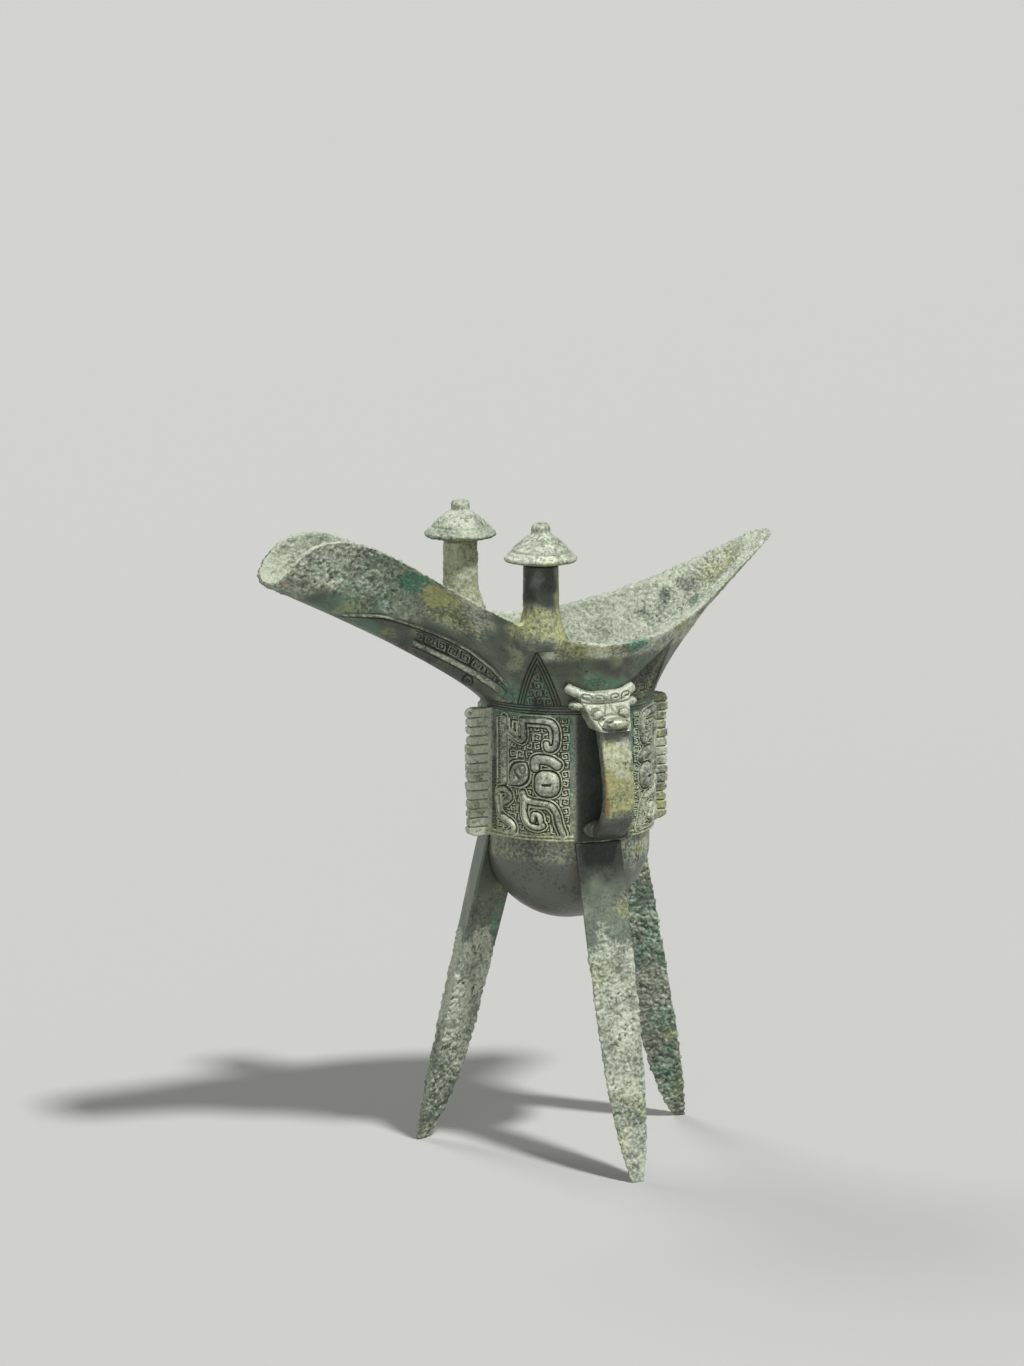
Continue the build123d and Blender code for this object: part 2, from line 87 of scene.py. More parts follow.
# %% [markdown]
# Every piece starts as a copy of its solid. A solid's mesh has long thin triangles, which can't carry fine
# carving, so a voxel remesh wraps the copy in even little squares. It also rounds each sharp edge a little,
# as casting and wear did. Solids that were cast as one wall are wrapped together, so that no seam shows
# between them.

# %% Even skins from the solids
def skin_of(voxel, *nodes):
    """One closed skin of even squares, voxel millimetres wide, over copies of CAD nodes."""
    bm = bmesh.new()
    for node in nodes:
        bm.from_mesh(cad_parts[node].data)
    bmesh.ops.remove_doubles(bm, verts=bm.verts, dist=1e-6)
    mesh = bpy.data.meshes.new("copy")
    bm.to_mesh(mesh)
    bm.free()
    holder = bpy.data.objects.new("copy", mesh)
    bpy.context.scene.collection.objects.link(holder)
    wrap = holder.modifiers.new("wrap", "REMESH")
    wrap.mode = "VOXEL"
    wrap.voxel_size = voxel * MM
    wrap.use_smooth_shade = True
    skin = bpy.data.meshes.new_from_object(holder.evaluated_get(bpy.context.evaluated_depsgraph_get()))
    bpy.data.objects.remove(holder)
    bpy.data.meshes.remove(mesh)
    return skin


def read(mesh):
    """A mesh's points in millimetres from the cup's axis, and the ways they face."""
    points = np.empty(3 * len(mesh.vertices), np.float32)
    facing = np.empty(3 * len(mesh.vertices), np.float32)
    mesh.vertices.foreach_get("co", points)
    mesh.vertices.foreach_get("normal", facing)
    return points.reshape(-1, 3).astype(float) / MM - cup_axis, facing.reshape(-1, 3).astype(float)


def write(mesh, points, **fields):
    """Puts the points back, and keeps each field as a number per point for the material."""
    mesh.vertices.foreach_set("co", ((points + cup_axis) * MM).astype(np.float32).ravel())
    for name, values in fields.items():
        mesh.attributes.new(name, "FLOAT", "POINT").data.foreach_set("value", values.astype(np.float32))
    mesh.shade_smooth()
    mesh.update()


def show(name, mesh, material, slot, *nodes):
    """Stands a finished mesh in for its CAD nodes."""
    piece = bpy.data.objects.new(name, mesh)
    bpy.context.scene.collection.objects.link(piece)
    mesh.materials.clear()
    mesh.materials.append(material)
    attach(piece, "root")
    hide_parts(*nodes)
    print(name, sum(len(p.vertices) - 2 for p in mesh.polygons), "triangles")
    return piece


# %% [markdown]
# Corrosion is uneven at every size, from blisters a few millimetres wide down to grains under one. Lattice
# noise gives that: each corner of a cube grid gets a fixed random height, and points in between blend their
# eight corners. Its high spots are the grains, and dirt stays in its low spots. Moving the points themselves,
# and not only the shading, keeps the grain on the outline too.

# %% Corrosion by numbers
def ramp(x, low, high):
    """A soft step: 0 below low, 1 above high."""
    t = np.clip((x - low) / (high - low), 0.0, 1.0)
    return t * t * (3 - 2 * t)


# the lattice stands askew, so that its rows don't line up with the vessel
TURNED = np.array(Matrix.Rotation(0.9, 3, (0.6, 0.5, 0.62)))
# each seed takes another stretch of it, and large odd numbers mix a corner's place into its height
SEED_STRIDE = 37.3
MIXERS, LAST_MIXER = np.array([73856093, 19349663, 83492791]), 1274126177


def lumps(points, cell, seed):
    """Smooth random lumps about cell millimetres across, from -1 to 1."""
    grid = points @ TURNED / cell + SEED_STRIDE * seed
    base = np.floor(grid)
    share = grid - base
    share = share * share * (3 - 2 * share)
    base = base.astype(np.int64)
    total = np.zeros(len(points))
    for corner in np.ndindex(2, 2, 2):
        mixed = (base + corner) @ MIXERS
        mixed = (mixed ^ (mixed >> 13)) * LAST_MIXER
        height = ((mixed ^ (mixed >> 16)) & 0xFFFF) / (0xFFFF / 2) - 1.0
        total += height * np.prod(np.where(corner, share, 1 - share), axis=1)
    return total


def corrode(points, crust):
    """How far a corroded skin stands out, and how deep its pits are, where crust goes from 0 to 1."""
    # grains of about a millimetre, blisters of a few, and low waves left by the casting
    grain = 0.7 * lumps(points, 1.1, 1) + 0.55 * lumps(points, 0.6, 2)
    blisters = 0.2 * lumps(points, 3.6, 3) + 0.7 * grain
    waves = 0.08 * lumps(points, 9.0, 6) + 0.02 * lumps(points, 2.5, 7)
    return crust * blisters + waves, crust * ramp(-grain, 0.12, 0.42)


def patch(points, centre, size, ragged=0.45):
    """A ragged patch of size millimetres round a centre: 1 inside, 0 outside."""
    away = np.linalg.norm((points - centre) / size, axis=1)
    away = away + ragged * lumps(points, 6.0, 8) + 0.6 * ragged * lumps(points, 2.0, 9)
    return 1.0 - ramp(away, 0.5, 1.4)


print("grain at the origin", corrode(np.zeros((1, 3)), np.ones(1)))

# %% [markdown]
# The ornament is line work, so carving asks one question of every point: how far is it from a line? Corners
# of the listed lines are cut twice to make them flow. The ground between the big forms is filled with
# leiwen, the square spirals of early bronzes: a spiral is where the distance from a square's middle keeps
# step with the angle round it.

# %% Carving by distance
def flow(line, rounds=2):
    """A given line with its corners cut, ends kept."""
    line = np.array(line, float)
    for _ in range(rounds):
        near, far = 0.75 * line[:-1] + 0.25 * line[1:], 0.25 * line[:-1] + 0.75 * line[1:]
        middle = np.stack([near, far], 1).reshape(-1, 2)
        line = np.concatenate([line[:1], middle[1:-1], line[-1:]])
    return line


def off_line(x, y, line):
    """Distance of each point from a line of straight runs."""
    nearest = np.full(len(x), 1e9)
    for (ax, ay), (bx, by) in zip(line[:-1], line[1:]):
        run_x, run_y = bx - ax, by - ay
        along = ((x - ax) * run_x + (y - ay) * run_y) / max(run_x**2 + run_y**2, 1e-9)
        along = np.clip(along, 0.0, 1.0)
        nearest = np.minimum(nearest, np.hypot(x - ax - along * run_x, y - ay - along * run_y))
    return nearest


def close_to(away, inner, outer):
    """1 within inner of a line, 0 beyond outer; away is the distance, of either sign."""
    return 1 - ramp(np.abs(away), inner, outer)


def leiwen(x, y, cell, turns=2.0):
    """Square spirals in a grid of cells: 1 on their ridges, 0 in their grooves."""
    column, row = np.floor(x / cell), np.floor(y / cell)
    u, v = x - (column + 0.5) * cell, y - (row + 0.5) * cell
    u = np.where((column + row) % 2 == 0, u, -u)
    pitch = 0.5 * cell / turns
    step = np.maximum(np.abs(u), np.abs(v)) / pitch - np.arctan2(v, u) / (2 * pi)
    wave = np.abs((step % 1.0) - 0.5) * 2
    return ramp(wave, 0.30, 0.62)


print("leiwen at a cell's middle", leiwen(np.array([1.2]), np.array([1.2]), 2.4))

# %% [markdown]
# The real skin is bronze under mineral crusts: a grey-green film where it is smooth, green copper salts in
# the hollows, yellow and rust stains, and a pale gritty crust with dark pits. One graph layers these, each
# layer where its field says, with its edge broken by noise. Only the metal and film colours, and how glossy
# the smooth skin is, differ from slot to slot. A few helpers keep the graph short enough to read.

# %% Nodes in plain words
def linear(code):
    """An sRGB hex colour as the linear colour that shaders use."""
    parts = [int(code[i:i + 2], 16) / 255 for i in (1, 3, 5)]
    return (*[c / 12.92 if c <= 0.04045 else ((c + 0.055) / 1.055) ** 2.4 for c in parts], 1.0)


def add(tree, kind, terms=None, **settings):
    """Adds a node; a term is a value for one of its sockets, or the output that feeds it."""
    node = tree.nodes.new(kind)
    for key, value in settings.items():
        setattr(node, key, value)
    sockets = {socket.identifier: socket for socket in node.inputs}
    for key, term in (terms or {}).items():
        if isinstance(term, bpy.types.NodeSocket):
            tree.links.new(term, sockets[key])
        else:
            sockets[key].default_value = term
    return node


def calc(tree, operation, *terms):
    """The result of a Math node."""
    named = dict(zip(("Value", "Value_001", "Value_002"), terms))
    return add(tree, "ShaderNodeMath", named, operation=operation).outputs["Value"]


def remap(tree, source, start, end, low=0.0, high=1.0):
    """A result that goes from low to high while the source goes from start to end."""
    terms = {"Value": source, "From Min": start, "From Max": end, "To Min": low, "To Max": high}
    return add(tree, "ShaderNodeMapRange", terms).outputs["Result"]


def blend(tree, share, first, second):
    """Two colours mixed: the first where share is 0, the second where it is 1."""
    terms = {"Factor_Float": share, "A_Color": first, "B_Color": second}
    return add(tree, "ShaderNodeMix", terms, data_type="RGBA").outputs[2]


def noise(tree, place, size):
    """Cloudy noise with lumps about size millimetres wide."""
    terms = {"Vector": place, "Scale": 1 / (size * MM), "Detail": 5.0, "Roughness": 0.62}
    return add(tree, "ShaderNodeTexNoise", terms).outputs["Fac"]


def field_of(tree, name):
    """The number that a mesh keeps for each point under a name."""
    return add(tree, "ShaderNodeAttribute", attribute_name=name).outputs["Fac"]


print("mid grey is", [round(c, 3) for c in linear("#808080")])

# %% Colours and patina
# each layer's field, its deep and pale tones
LAYERS = (
    ("crust", "#6B7565", "#939B87"),
    ("green", "#345F4A", "#6B9A80"),
    ("olive", "#797B52", "#BCBE88"),
    ("rust", "#6B4A30", "#A07848"),
    ("chalk", "#A8AF9B", "#CBD1BE"),
    ("dark", "#252923", "#40453F"),
    ("dirt", "#181C15", "#30362C"),
)
# clouds, specks and grit, in millimetres, drawn coarser than the real dust so that it shows
CLOUD, SPECK, GRIT = 8.0, 1.0, 0.45


def patinated_bronze(name, metal, film, gloss):
    """Bronze under a mineral film; metal and film are its two tones, gloss the smooth skin's roughness."""
    material = bpy.data.materials.new(name)
    material.use_nodes = True
    tree = material.node_tree
    place = add(tree, "ShaderNodeTexCoord").outputs["Object"]
    clouds, specks, grit = [noise(tree, place, size) for size in (CLOUD, SPECK, GRIT)]
    both = calc(tree, "MULTIPLY_ADD", specks, 1.15, calc(tree, "MULTIPLY", clouds, 0.85))
    tones = remap(tree, both, 0.72, 1.28)
    colour = blend(tree, tones, linear(metal), linear(film))
    for field, deep, pale in LAYERS:
        broken = calc(tree, "MULTIPLY_ADD", both, 0.9, field_of(tree, field))
        tone = blend(tree, tones, linear(deep), linear(pale))
        colour = blend(tree, remap(tree, broken, 1.15, 1.65), colour, tone)
    # the grit stands higher where the crust is thick
    crust = field_of(tree, "crust")
    stand = calc(tree, "MULTIPLY_ADD", crust, 1.6, 0.25)
    height = calc(tree, "MULTIPLY", calc(tree, "MULTIPLY_ADD", grit, 0.5, specks), stand)
    bump = add(tree, "ShaderNodeBump", {"Height": height, "Strength": 0.7, "Distance": 0.55 * MM})
    shader = tree.nodes["Principled BSDF"].inputs
    tree.links.new(colour, shader["Base Color"])
    tree.links.new(remap(tree, crust, 0.0, 1.0, gloss, 0.66), shader["Roughness"])
    tree.links.new(remap(tree, crust, 0.0, 0.6, 0.45, 0.0), shader["Metallic"])
    tree.links.new(bump.outputs["Normal"], shader["Normal"])
    print(name, len(tree.nodes), "nodes")
    return material


# Handled, smooth cast bronze with a thin dark film: soft highlights on grey
smooth_bronze = patinated_bronze("smooth_dark_bronze", "#454942", "#868B7F", 0.28)
# Cast bronze under an even grey-green film of copper carbonate: satin, cloudy
green_bronze = patinated_bronze("green_film_bronze", "#4A5147", "#8B9482", 0.42)
# Buried bronze with gritty salts grown out of its skin: dry and pale
crusted_bronze = patinated_bronze("crusted_bronze", "#4C554C", "#828C7B", 0.48)

# %% [markdown]
# The mouth is one flaring wall: the neck, the long spout, the pointed tail and the thick lip were never
# separate, and the posts grew out of the rim with soft feet. They are wrapped together, smoothed where posts
# meet the wall, carved, corroded, and only then cut apart into named pieces along plain planes, with the cuts
# closed.

# %% The mouth's own lines
SPOUT_SEAM, TAIL_SEAM, POST_CUT = -31.0, 30.0, 174.0
POST_X, POST_Y = -22.3, 28.9
POSTS = ((POST_X, -POST_Y), (POST_X, POST_Y))
# how far from its axis a post's shaft and its soft foot reach
SHAFT_REACH, FOOT_REACH = 8.5, 11.5
# the keel, the spout's underside along its middle: where it starts, how far it runs and rises, its bend
KEEL_X, KEEL_Z, KEEL_RUN, KEEL_RISE, KEEL_BEND = -26.3, 140.5, 73.0, 42.1, 1.24
# how far out from the cup's axis the spout's thick crust starts
CRUST_X = 46.0


def keel(x):
    """Height of the spout's underside along its middle."""
    share = np.clip((KEEL_X - x) / KEEL_RUN, 0.0, 1.0)
    return KEEL_Z + KEEL_RISE * share ** (1 / KEEL_BEND)


def mouth_side(points, facing):
    """1 on the wall's outside, 0 inside it."""
    around = points[:, :2] / np.linalg.norm(points[:, :2], axis=1, keepdims=True)
    return ramp((around * facing[:, :2]).sum(1) - facing[:, 2], -0.15, 0.15)


print("the keel rises from", keel(KEEL_X), "to", round(keel(KEEL_X - KEEL_RUN), 1), "mm")

# %% [markdown]
# Two kinds of blade decorate the mouth. A long one runs under the spout, with a raised border, a rounded rib,
# a band of leiwen and a curled eye, and four upright ones stand round the neck. They could be strips laid on
# the wall, but cast ornament is part of its wall, so each is worked out as a depth for every point.

# %% The blade under the spout
# height of its upper border above the keel, along x
BLADE_X = (-78.0, -71.3, -64.4, -57.3, -50.2, -43.6, -37.3, -31.3, -26.0)
BLADE_TOP = (1.0, 3.8, 6.7, 8.1, 9.2, 10.1, 10.2, 9.2, 7.4)


def spout_blade(points):
    """Depth of the blade's cuts and height of its raised borders, each from 0 to 1."""
    x, y, z = points.T
    above, top = z - keel(x), np.interp(x, BLADE_X, BLADE_TOP)
    under = ramp(-x, 25.5, 26.5) * (1 - ramp(-x, 76.0, 78.0))
    inner = under * (1 - ramp(-x, 53.0, 55.0))
    rib = np.interp(x, (-54.0, -30.0), (3.4, 5.0))
    # a raised border and a rounded rib, with lines cut along both
    raised = np.maximum(0.8 * under * close_to(above - top, 0.15, 0.42),
                        inner * np.sqrt(np.clip(1 - (above - rib) ** 2, 0, 1)))
    cut = np.zeros(len(points))
    for edge, reach in ((top - 0.7, under), (top + 0.7, 0.5 * under), (rib + 1.2, inner), (rib - 1.2, inner)):
        cut = np.maximum(cut, reach * close_to(above - edge, 0.12, 0.38))
    # a band of leiwen between the two
    band = (inner > 0.5) & (above > rib + 1.5) & (above < top - 1.0) & (x > -53.5) & (x < -27.5)
    across = (above - rib - 1.5) / np.maximum(top - rib - 2.5, 0.5)
    spirals = band * leiwen(1.1 * x, across * 4.0, 4.0, 2.25)
    cut = np.maximum(cut, band - spirals)
    raised = np.maximum(raised, 0.5 * spirals)
    # a curled eye and hooks below
    low = (under > 0.5) & (above < 3.3) & (np.abs(y) > 0.6)
    eye = np.hypot(1.2 * (x + 35.2), np.abs(y) - 4.2)
    for radius in (0.55, 1.7):
        cut = np.maximum(cut, low * close_to(eye - radius, 0.2, 0.45))
    hooks = low & (x < -38.5) & (x > -58.0)
    cut = np.maximum(cut, 0.4 * hooks * (1 - leiwen(1.2 * x, np.abs(y), 4.2, 2.25)))
    return cut, raised


print("the blade is", max(BLADE_TOP), "mm wide at most")

# %% The blades round the neck
# left and right end of each base, and the apex, as angles
NECK_BLADES = ((-149.3, -118.7, -130.0), (118.7, 149.3, 130.0), (-88.0, -36.0, -47.0), (36.0, 88.0, 47.0))
NECK_FOOT, NECK_APEX, NECK_RADIUS = 143.2, 161.5, 27.5


def neck_cuts(points):
    """Depth of the cuts of the blades round the neck, and of the triple line that they stand on."""
    x, y, z = points.T
    angle, radius = np.degrees(np.arctan2(y, x)), np.hypot(x, y)
    share = np.clip((z - NECK_FOOT) / (NECK_APEX - NECK_FOOT), 0, 1)
    here = (z > NECK_FOOT) & (z < NECK_APEX)
    cut = np.zeros(len(points))
    for left, right, apex in NECK_BLADES:
        side = np.minimum(angle - left - (apex - left) * share, right + (apex - right) * share - angle)
        inside = side * radius * pi / 180
        # three border lines and a core of leiwen
        for depth in (0.3, 1.3, 2.3):
            cut = np.maximum(cut, here * close_to(inside - depth, 0.16, 0.42))
        spirals = leiwen((angle - apex) * NECK_RADIUS * pi / 180, z - NECK_FOOT, 2.6, 1.75)
        cut = np.maximum(cut, (here & (inside > 2.9)) * (1 - spirals))
    for line in (141.3, 142.2, 143.0):
        cut = np.maximum(cut, close_to(z - line, 0.16, 0.38))
    return cut


def mouth_carving(points):
    """Depth of all cuts and height of the raised borders on the wall's outside, each from 0 to 1."""
    cut, raised = spout_blade(points)
    cut = np.maximum(cut, neck_cuts(points))
    return cut, raised * (1 - cut)


print(len(NECK_BLADES), "blades,", round(NECK_APEX - NECK_FOOT, 1), "mm tall")

# %% Wrap and smooth the mouth
# the posts' soft feet lie between these heights, and are smoothed this many times
FOOT_LOW, FOOT_HIGH, FOOT_ROUNDS = 158.0, 175.0, 10
# inside, the grit shows past these two places along x
GRITTY_SPOUT, GRITTY_TAIL = -84.0, 32.0


def make_mouth():
    """The whole mouth with its posts as one mesh of even squares, finer where it will be carved or gritty."""
    mesh = skin_of(0.55, "neck", "spout", "tail", "rim_lip", "handle_post", "back_post")
    bm = bmesh.new()
    bm.from_mesh(mesh)
    bm.normal_update()
    points, facing = read(mesh)
    x, y, z = points.T
    joins = np.zeros(len(points), bool)
    for post_x, post_y in POSTS:
        joins |= (np.hypot(x - post_x, y - post_y) < FOOT_REACH) & (z > FOOT_LOW) & (z < FOOT_HIGH)
    bm.verts.ensure_lookup_table()
    soft = [bm.verts[i] for i in np.flatnonzero(joins)]
    for _ in range(FOOT_ROUNDS):
        bmesh.ops.smooth_vert(bm, verts=soft, factor=0.5, use_axis_x=True, use_axis_y=True, use_axis_z=True)
    # finer squares for the ornament, the crusted spout, and inside the spout's end and the tail
    outside = mouth_side(points, facing) > 0.5
    cut, raised = mouth_carving(points)
    fine = outside & (cut + raised > 0) | (x < -CRUST_X) & outside & (z - keel(x) > 5.0)
    fine |= ~outside & ((x < GRITTY_SPOUT) | (x > GRITTY_TAIL))
    marked = [e for e in bm.edges if fine[e.verts[0].index] or fine[e.verts[1].index]]
    bmesh.ops.subdivide_edges(bm, edges=marked, cuts=1, use_grid_fill=True)
    bm.to_mesh(mesh)
    bm.free()
    mesh.update()
    return mesh


mouth = make_mouth()
print("mouth", len(mouth.vertices), "points")

# %% Where the mouth is crusted
points, facing = read(mouth)
x, y, z = points.T
outside = mouth_side(points, facing)
inside = 1 - outside
gap = np.minimum(*[np.hypot(x - post_x, y - post_y) for post_x, post_y in POSTS])
post = (1 - ramp(gap, 8.0, FOOT_REACH)) * ramp(z, 163.5, 168.0)
near_post, far_post, wall = post * (y < 0), post * (y > 0), 1 - post
ragged = 2.5 * lumps(points, 7.0, 21) + 1.2 * lumps(points, 2.5, 23)
over_keel = z - keel(x)
spread = np.interp(-x, (CRUST_X, 78.0, 96.0), (8.0, 4.0, -4.0))
spout_crust = ramp(-x + ragged, CRUST_X, 62.0) * ramp(over_keel + ragged - spread, 0.0, 6.0)
# the thick lip, the upper wall of the spout with its yellow stain, and calmer places inside
lip = ramp(z + 0.2 * ragged, 157.0, 160.0) * ramp(x, -24.0, -18.0)
upper = outside * ramp(-x + ragged, 31.0, 40.0) * ramp(over_keel + 0.8 * ragged, 10.0, 17.0)
yellow = outside * patch(points, (-51.0, -17.0, 177.5), (6.5, 6.0, 4.4))
bare = inside * np.maximum(patch(points, (40.0, 8.0, 170.0), (12.0, 8.0, 8.0)),
                           patch(points, (-35.0, 0.0, 165.0), (22.0, 16.0, 12.0)))
calm = inside * patch(points, (30.0, 6.0, 163.0), (24.0, 16.0, 9.0))
lip_crust = lip * (0.30 + 0.3 * lumps(points, 5.0, 24))
outer_crust = np.maximum.reduce([spout_crust, lip_crust, 0.5 * yellow, 0.3 * upper])
crust = outside * outer_crust + inside * (0.9 - 0.45 * np.maximum(bare, calm))
crust = crust * wall + 0.55 * far_post + near_post * (0.12 + 0.35 * (1 - ramp(z, 174.0, 180.0)))
print("crusted share", round(float(crust.mean()), 2))

# %% Carve and corrode the mouth
cut, raised = [outside * wall * depth for depth in mouth_carving(points)]
out, crevices = corrode(points, crust)
points = points + facing * (0.75 * out - 0.40 * cut + 0.35 * raised)[:, None]
print("carved share", round(float((cut > 0.5).mean()), 2))

# %% [markdown]
# Each colour of the mouth is a field: green salts in spots and clouds, yellow on the lip and on one side of
# the spout, a little rust, chalky crust inside and on the raised lines, a pale rim edge and pale grain tops
# on the spout's crust that are partly painted highlight, a dark film on the plain wall, and dirt in the cuts
# and pits.
# Where several causes meet, the strongest one wins. Painting by hand would be freer, but it would not follow
# the carving when a line is moved.

# %% Colour the mouth
# green salts: how strong they are, where they sit and how far they spread
GREEN_SPOTS = (
    (1.0, (-57.5, -15.0, 181.5), (5.5, 6.0, 4.0)),
    (0.62, (-4.0, -30.0, 151.0), (8.0, 6.0, 4.0)),
    (0.6, (-87.0, 9.0, 189.0), (10.0, 8.0, 6.0)),
    (0.6, (-25.0, -14.0, 146.0), (7.0, 6.0, 5.0)),
    (0.44, (-72.0, -10.0, 177.0), (20.0, 8.0, 7.0)),
    (0.7, (8.0, -35.0, 163.0), (5.0, 4.0, 2.5)),
)
rim = close_to(outside - 0.5, 0.25, 0.45) * ramp(z, 158.0, 162.0)
spout_end = ramp(-x, 76.0, 88.0)
green = np.maximum.reduce([
    *[share * patch(points, centre, size) for share, centre, size in GREEN_SPOTS],
    0.45 * outside * ramp(lumps(points, 9.0, 25), 0.0, 0.7) * (1 - lip),
    0.42 * spout_crust * ramp(lumps(points, 5.0, 30), -0.4, 0.5),
    0.5 * calm * ramp(lumps(points, 6.0, 18), -0.4, 0.5),
])
olive = np.maximum.reduce([
    yellow,
    0.75 * outside * lip * ramp(lumps(points, 7.0, 22), -0.4, 0.4),
    0.4 * outside * ramp(lumps(points, 5.0, 35), 0.1, 0.7),
    0.62 * near_post * (1 - ramp(z + 0.8 * ragged, 172.0, 180.0)),
    0.85 * far_post,
    0.6 * upper * ramp(lumps(points, 6.0, 34), -0.6, 0.3) * (1 - spout_crust),
    0.75 * inside * patch(points, (53.0, 3.0, 179.0), (10.0, 7.0, 8.0)),
])
rust = np.maximum(0.5 * outside * patch(points, (-36.0, -25.0, 177.0), (9.0, 6.0, 3.0)),
                  0.5 * patch(points, (-96.4, -9.1, 184.0), (2.5, 3.0, 1.6)))
chalk = np.maximum.reduce([
    inside * (0.68 + 0.4 * spout_end - 0.36 * bare) * wall,
    # the pale grain tops of the spout's crust are partly pale crust and partly a painted highlight of raking
    # light
    spout_crust * outside * (0.34 + 0.28 * ramp(out, -0.05, 0.3)),
    # the pale line along the rim's edge is partly worn crust and partly a painted highlight
    0.75 * rim * wall,
    lip * wall * (0.55 + 0.5 * lumps(points, 3.0, 27)),
    0.55 * far_post,
    0.5 * upper * (1 - 0.4 * spout_crust) * wall,
    0.5 * raised,
    0.36 * outside * wall * ramp(lumps(points, 4.0, 33), -0.2, 0.6),
])
chalk = chalk * (1 - 0.6 * green) * (1 - 0.5 * olive * wall) * (1 - 0.45 * yellow)
plain = outside * (1 - spout_crust) * (1 - lip) * wall
dark_post = near_post * ramp(z + 0.8 * ragged, 170.0, 179.0) * (1.0 + 0.35 * lumps(points, 2.0, 19))
dark_wall = plain * (0.52 + 0.25 * ramp(x, 18.0, 26.0)) * (1 - ramp(raised, 0.2, 0.5)) * (1 - 0.8 * upper)
dark = np.maximum(dark_post, dark_wall) * (1 - green) * (1 - 0.8 * olive)
dirt = np.maximum(0.8 * cut, (0.48 - 0.2 * inside * spout_end) * crevices)
write(mouth, points, crust=crust, chalk=chalk, green=green * (1 - 0.7 * near_post), olive=olive,
      rust=rust, dark=dark, dirt=dirt)
print("pale share", round(float((chalk > 0.5).mean()), 2))

# %% [markdown]
# The carved mouth is cut into its named pieces. A bisect splits the faces that a plane crosses; each piece
# keeps the faces on its own side, and the open loops left by the cut are filled. The cut edges are marked
# sharp, so the filled ends don't bend the shading of the wall beside them.

# %% Cut the mouth apart
def cut_mouth():
    """The mouth's mesh with its four cuts made, and the name of the piece that each face belongs to."""
    bm = bmesh.new()
    bm.from_mesh(mouth)
    centre = Vector(cup_axis) * MM
    for seam in (SPOUT_SEAM, TAIL_SEAM):
        everything = bm.verts[:] + bm.edges[:] + bm.faces[:]
        middle = centre + Vector((seam * MM, 0, 0))
        bmesh.ops.bisect_plane(bm, geom=everything, plane_co=middle, plane_no=(1, 0, 0))
    for post_x, post_y in POSTS:
        foot = centre + Vector((post_x, post_y, POST_CUT)) * MM
        ring = [f for f in bm.faces if (f.calc_center_median() - foot).length < SHAFT_REACH * MM]
        parts = {v for f in ring for v in f.verts} | {e for f in ring for e in f.edges}
        bmesh.ops.bisect_plane(bm, geom=[*parts, *ring], plane_co=foot, plane_no=(0, 0, 1))
    names = []
    for face in bm.faces:
        spot = (face.calc_center_median() - centre) / MM
        side = -1 if spot.y < 0 else 1
        if spot.z > POST_CUT and Vector((spot.x - POST_X, spot.y - side * POST_Y)).length < SHAFT_REACH:
            names.append("handle_post" if side < 0 else "back_post")
        else:
            names.append("spout" if spot.x < SPOUT_SEAM else "tail" if spot.x > TAIL_SEAM else "neck")
    return bm, np.array(names)


def drop_slivers(bm):
    """Drops what a plane shaved loose from a bump: every sheet of faces but the largest."""
    loose, sheets = set(bm.faces), []
    while loose:
        sheet = [loose.pop()]
        for face in sheet:
            beside = {f for e in face.edges for f in e.link_faces} & loose
            loose -= beside
            sheet.extend(beside)
        sheets.append(sheet)
    sheets.sort(key=len)
    slivers = [face for sheet in sheets[:-1] for face in sheet]
    bmesh.ops.delete(bm, geom=slivers, context="FACES")
    return len(slivers)


def one_piece(whole, names, name):
    """A closed mesh of the faces that carry one name."""
    bm = whole.copy()
    bm.faces.ensure_lookup_table()
    bmesh.ops.delete(bm, geom=[bm.faces[i] for i in np.flatnonzero(names != name)], context="FACES")
    print(name, drop_slivers(bm), "faces of slivers dropped")
    rims = [e for e in bm.edges if e.is_boundary]
    for edge in rims:
        edge.smooth = False
    bmesh.ops.holes_fill(bm, edges=rims, sides=0)
    mesh = bpy.data.meshes.new(name)
    bm.to_mesh(mesh)
    print(name, len(rims), "cut edges,", sum(not e.is_manifold for e in bm.edges), "left open")
    bm.free()
    return mesh


whole, names = cut_mouth()
show("neck_wall", one_piece(whole, names, "neck"), green_bronze, "green_bronze", "neck", "rim_lip")
show("spout_wall", one_piece(whole, names, "spout"), crusted_bronze, "crusted_bronze", "spout")
show("tail_wall", one_piece(whole, names, "tail"), crusted_bronze, "crusted_bronze", "tail")
show("handle_post_shaft", one_piece(whole, names, "handle_post"), smooth_bronze, "smooth_bronze",
     "handle_post")
show("back_post_shaft", one_piece(whole, names, "back_post"), crusted_bronze, "crusted_bronze", "back_post")
whole.free()

# %% [markdown]
# The mushroom caps carry a ring cut near the edge and a whorl of curved strokes round the knob. A whorl is a
# line whose angle turns as it goes out, so the carving measures the angle left over from that turn.

# %% Post caps
# radius of the ring, how many strokes the whorl has, and how many degrees a stroke turns in a millimetre
CAP_RING, STROKES, STROKE_TURN = 9.0, 4, 16.0


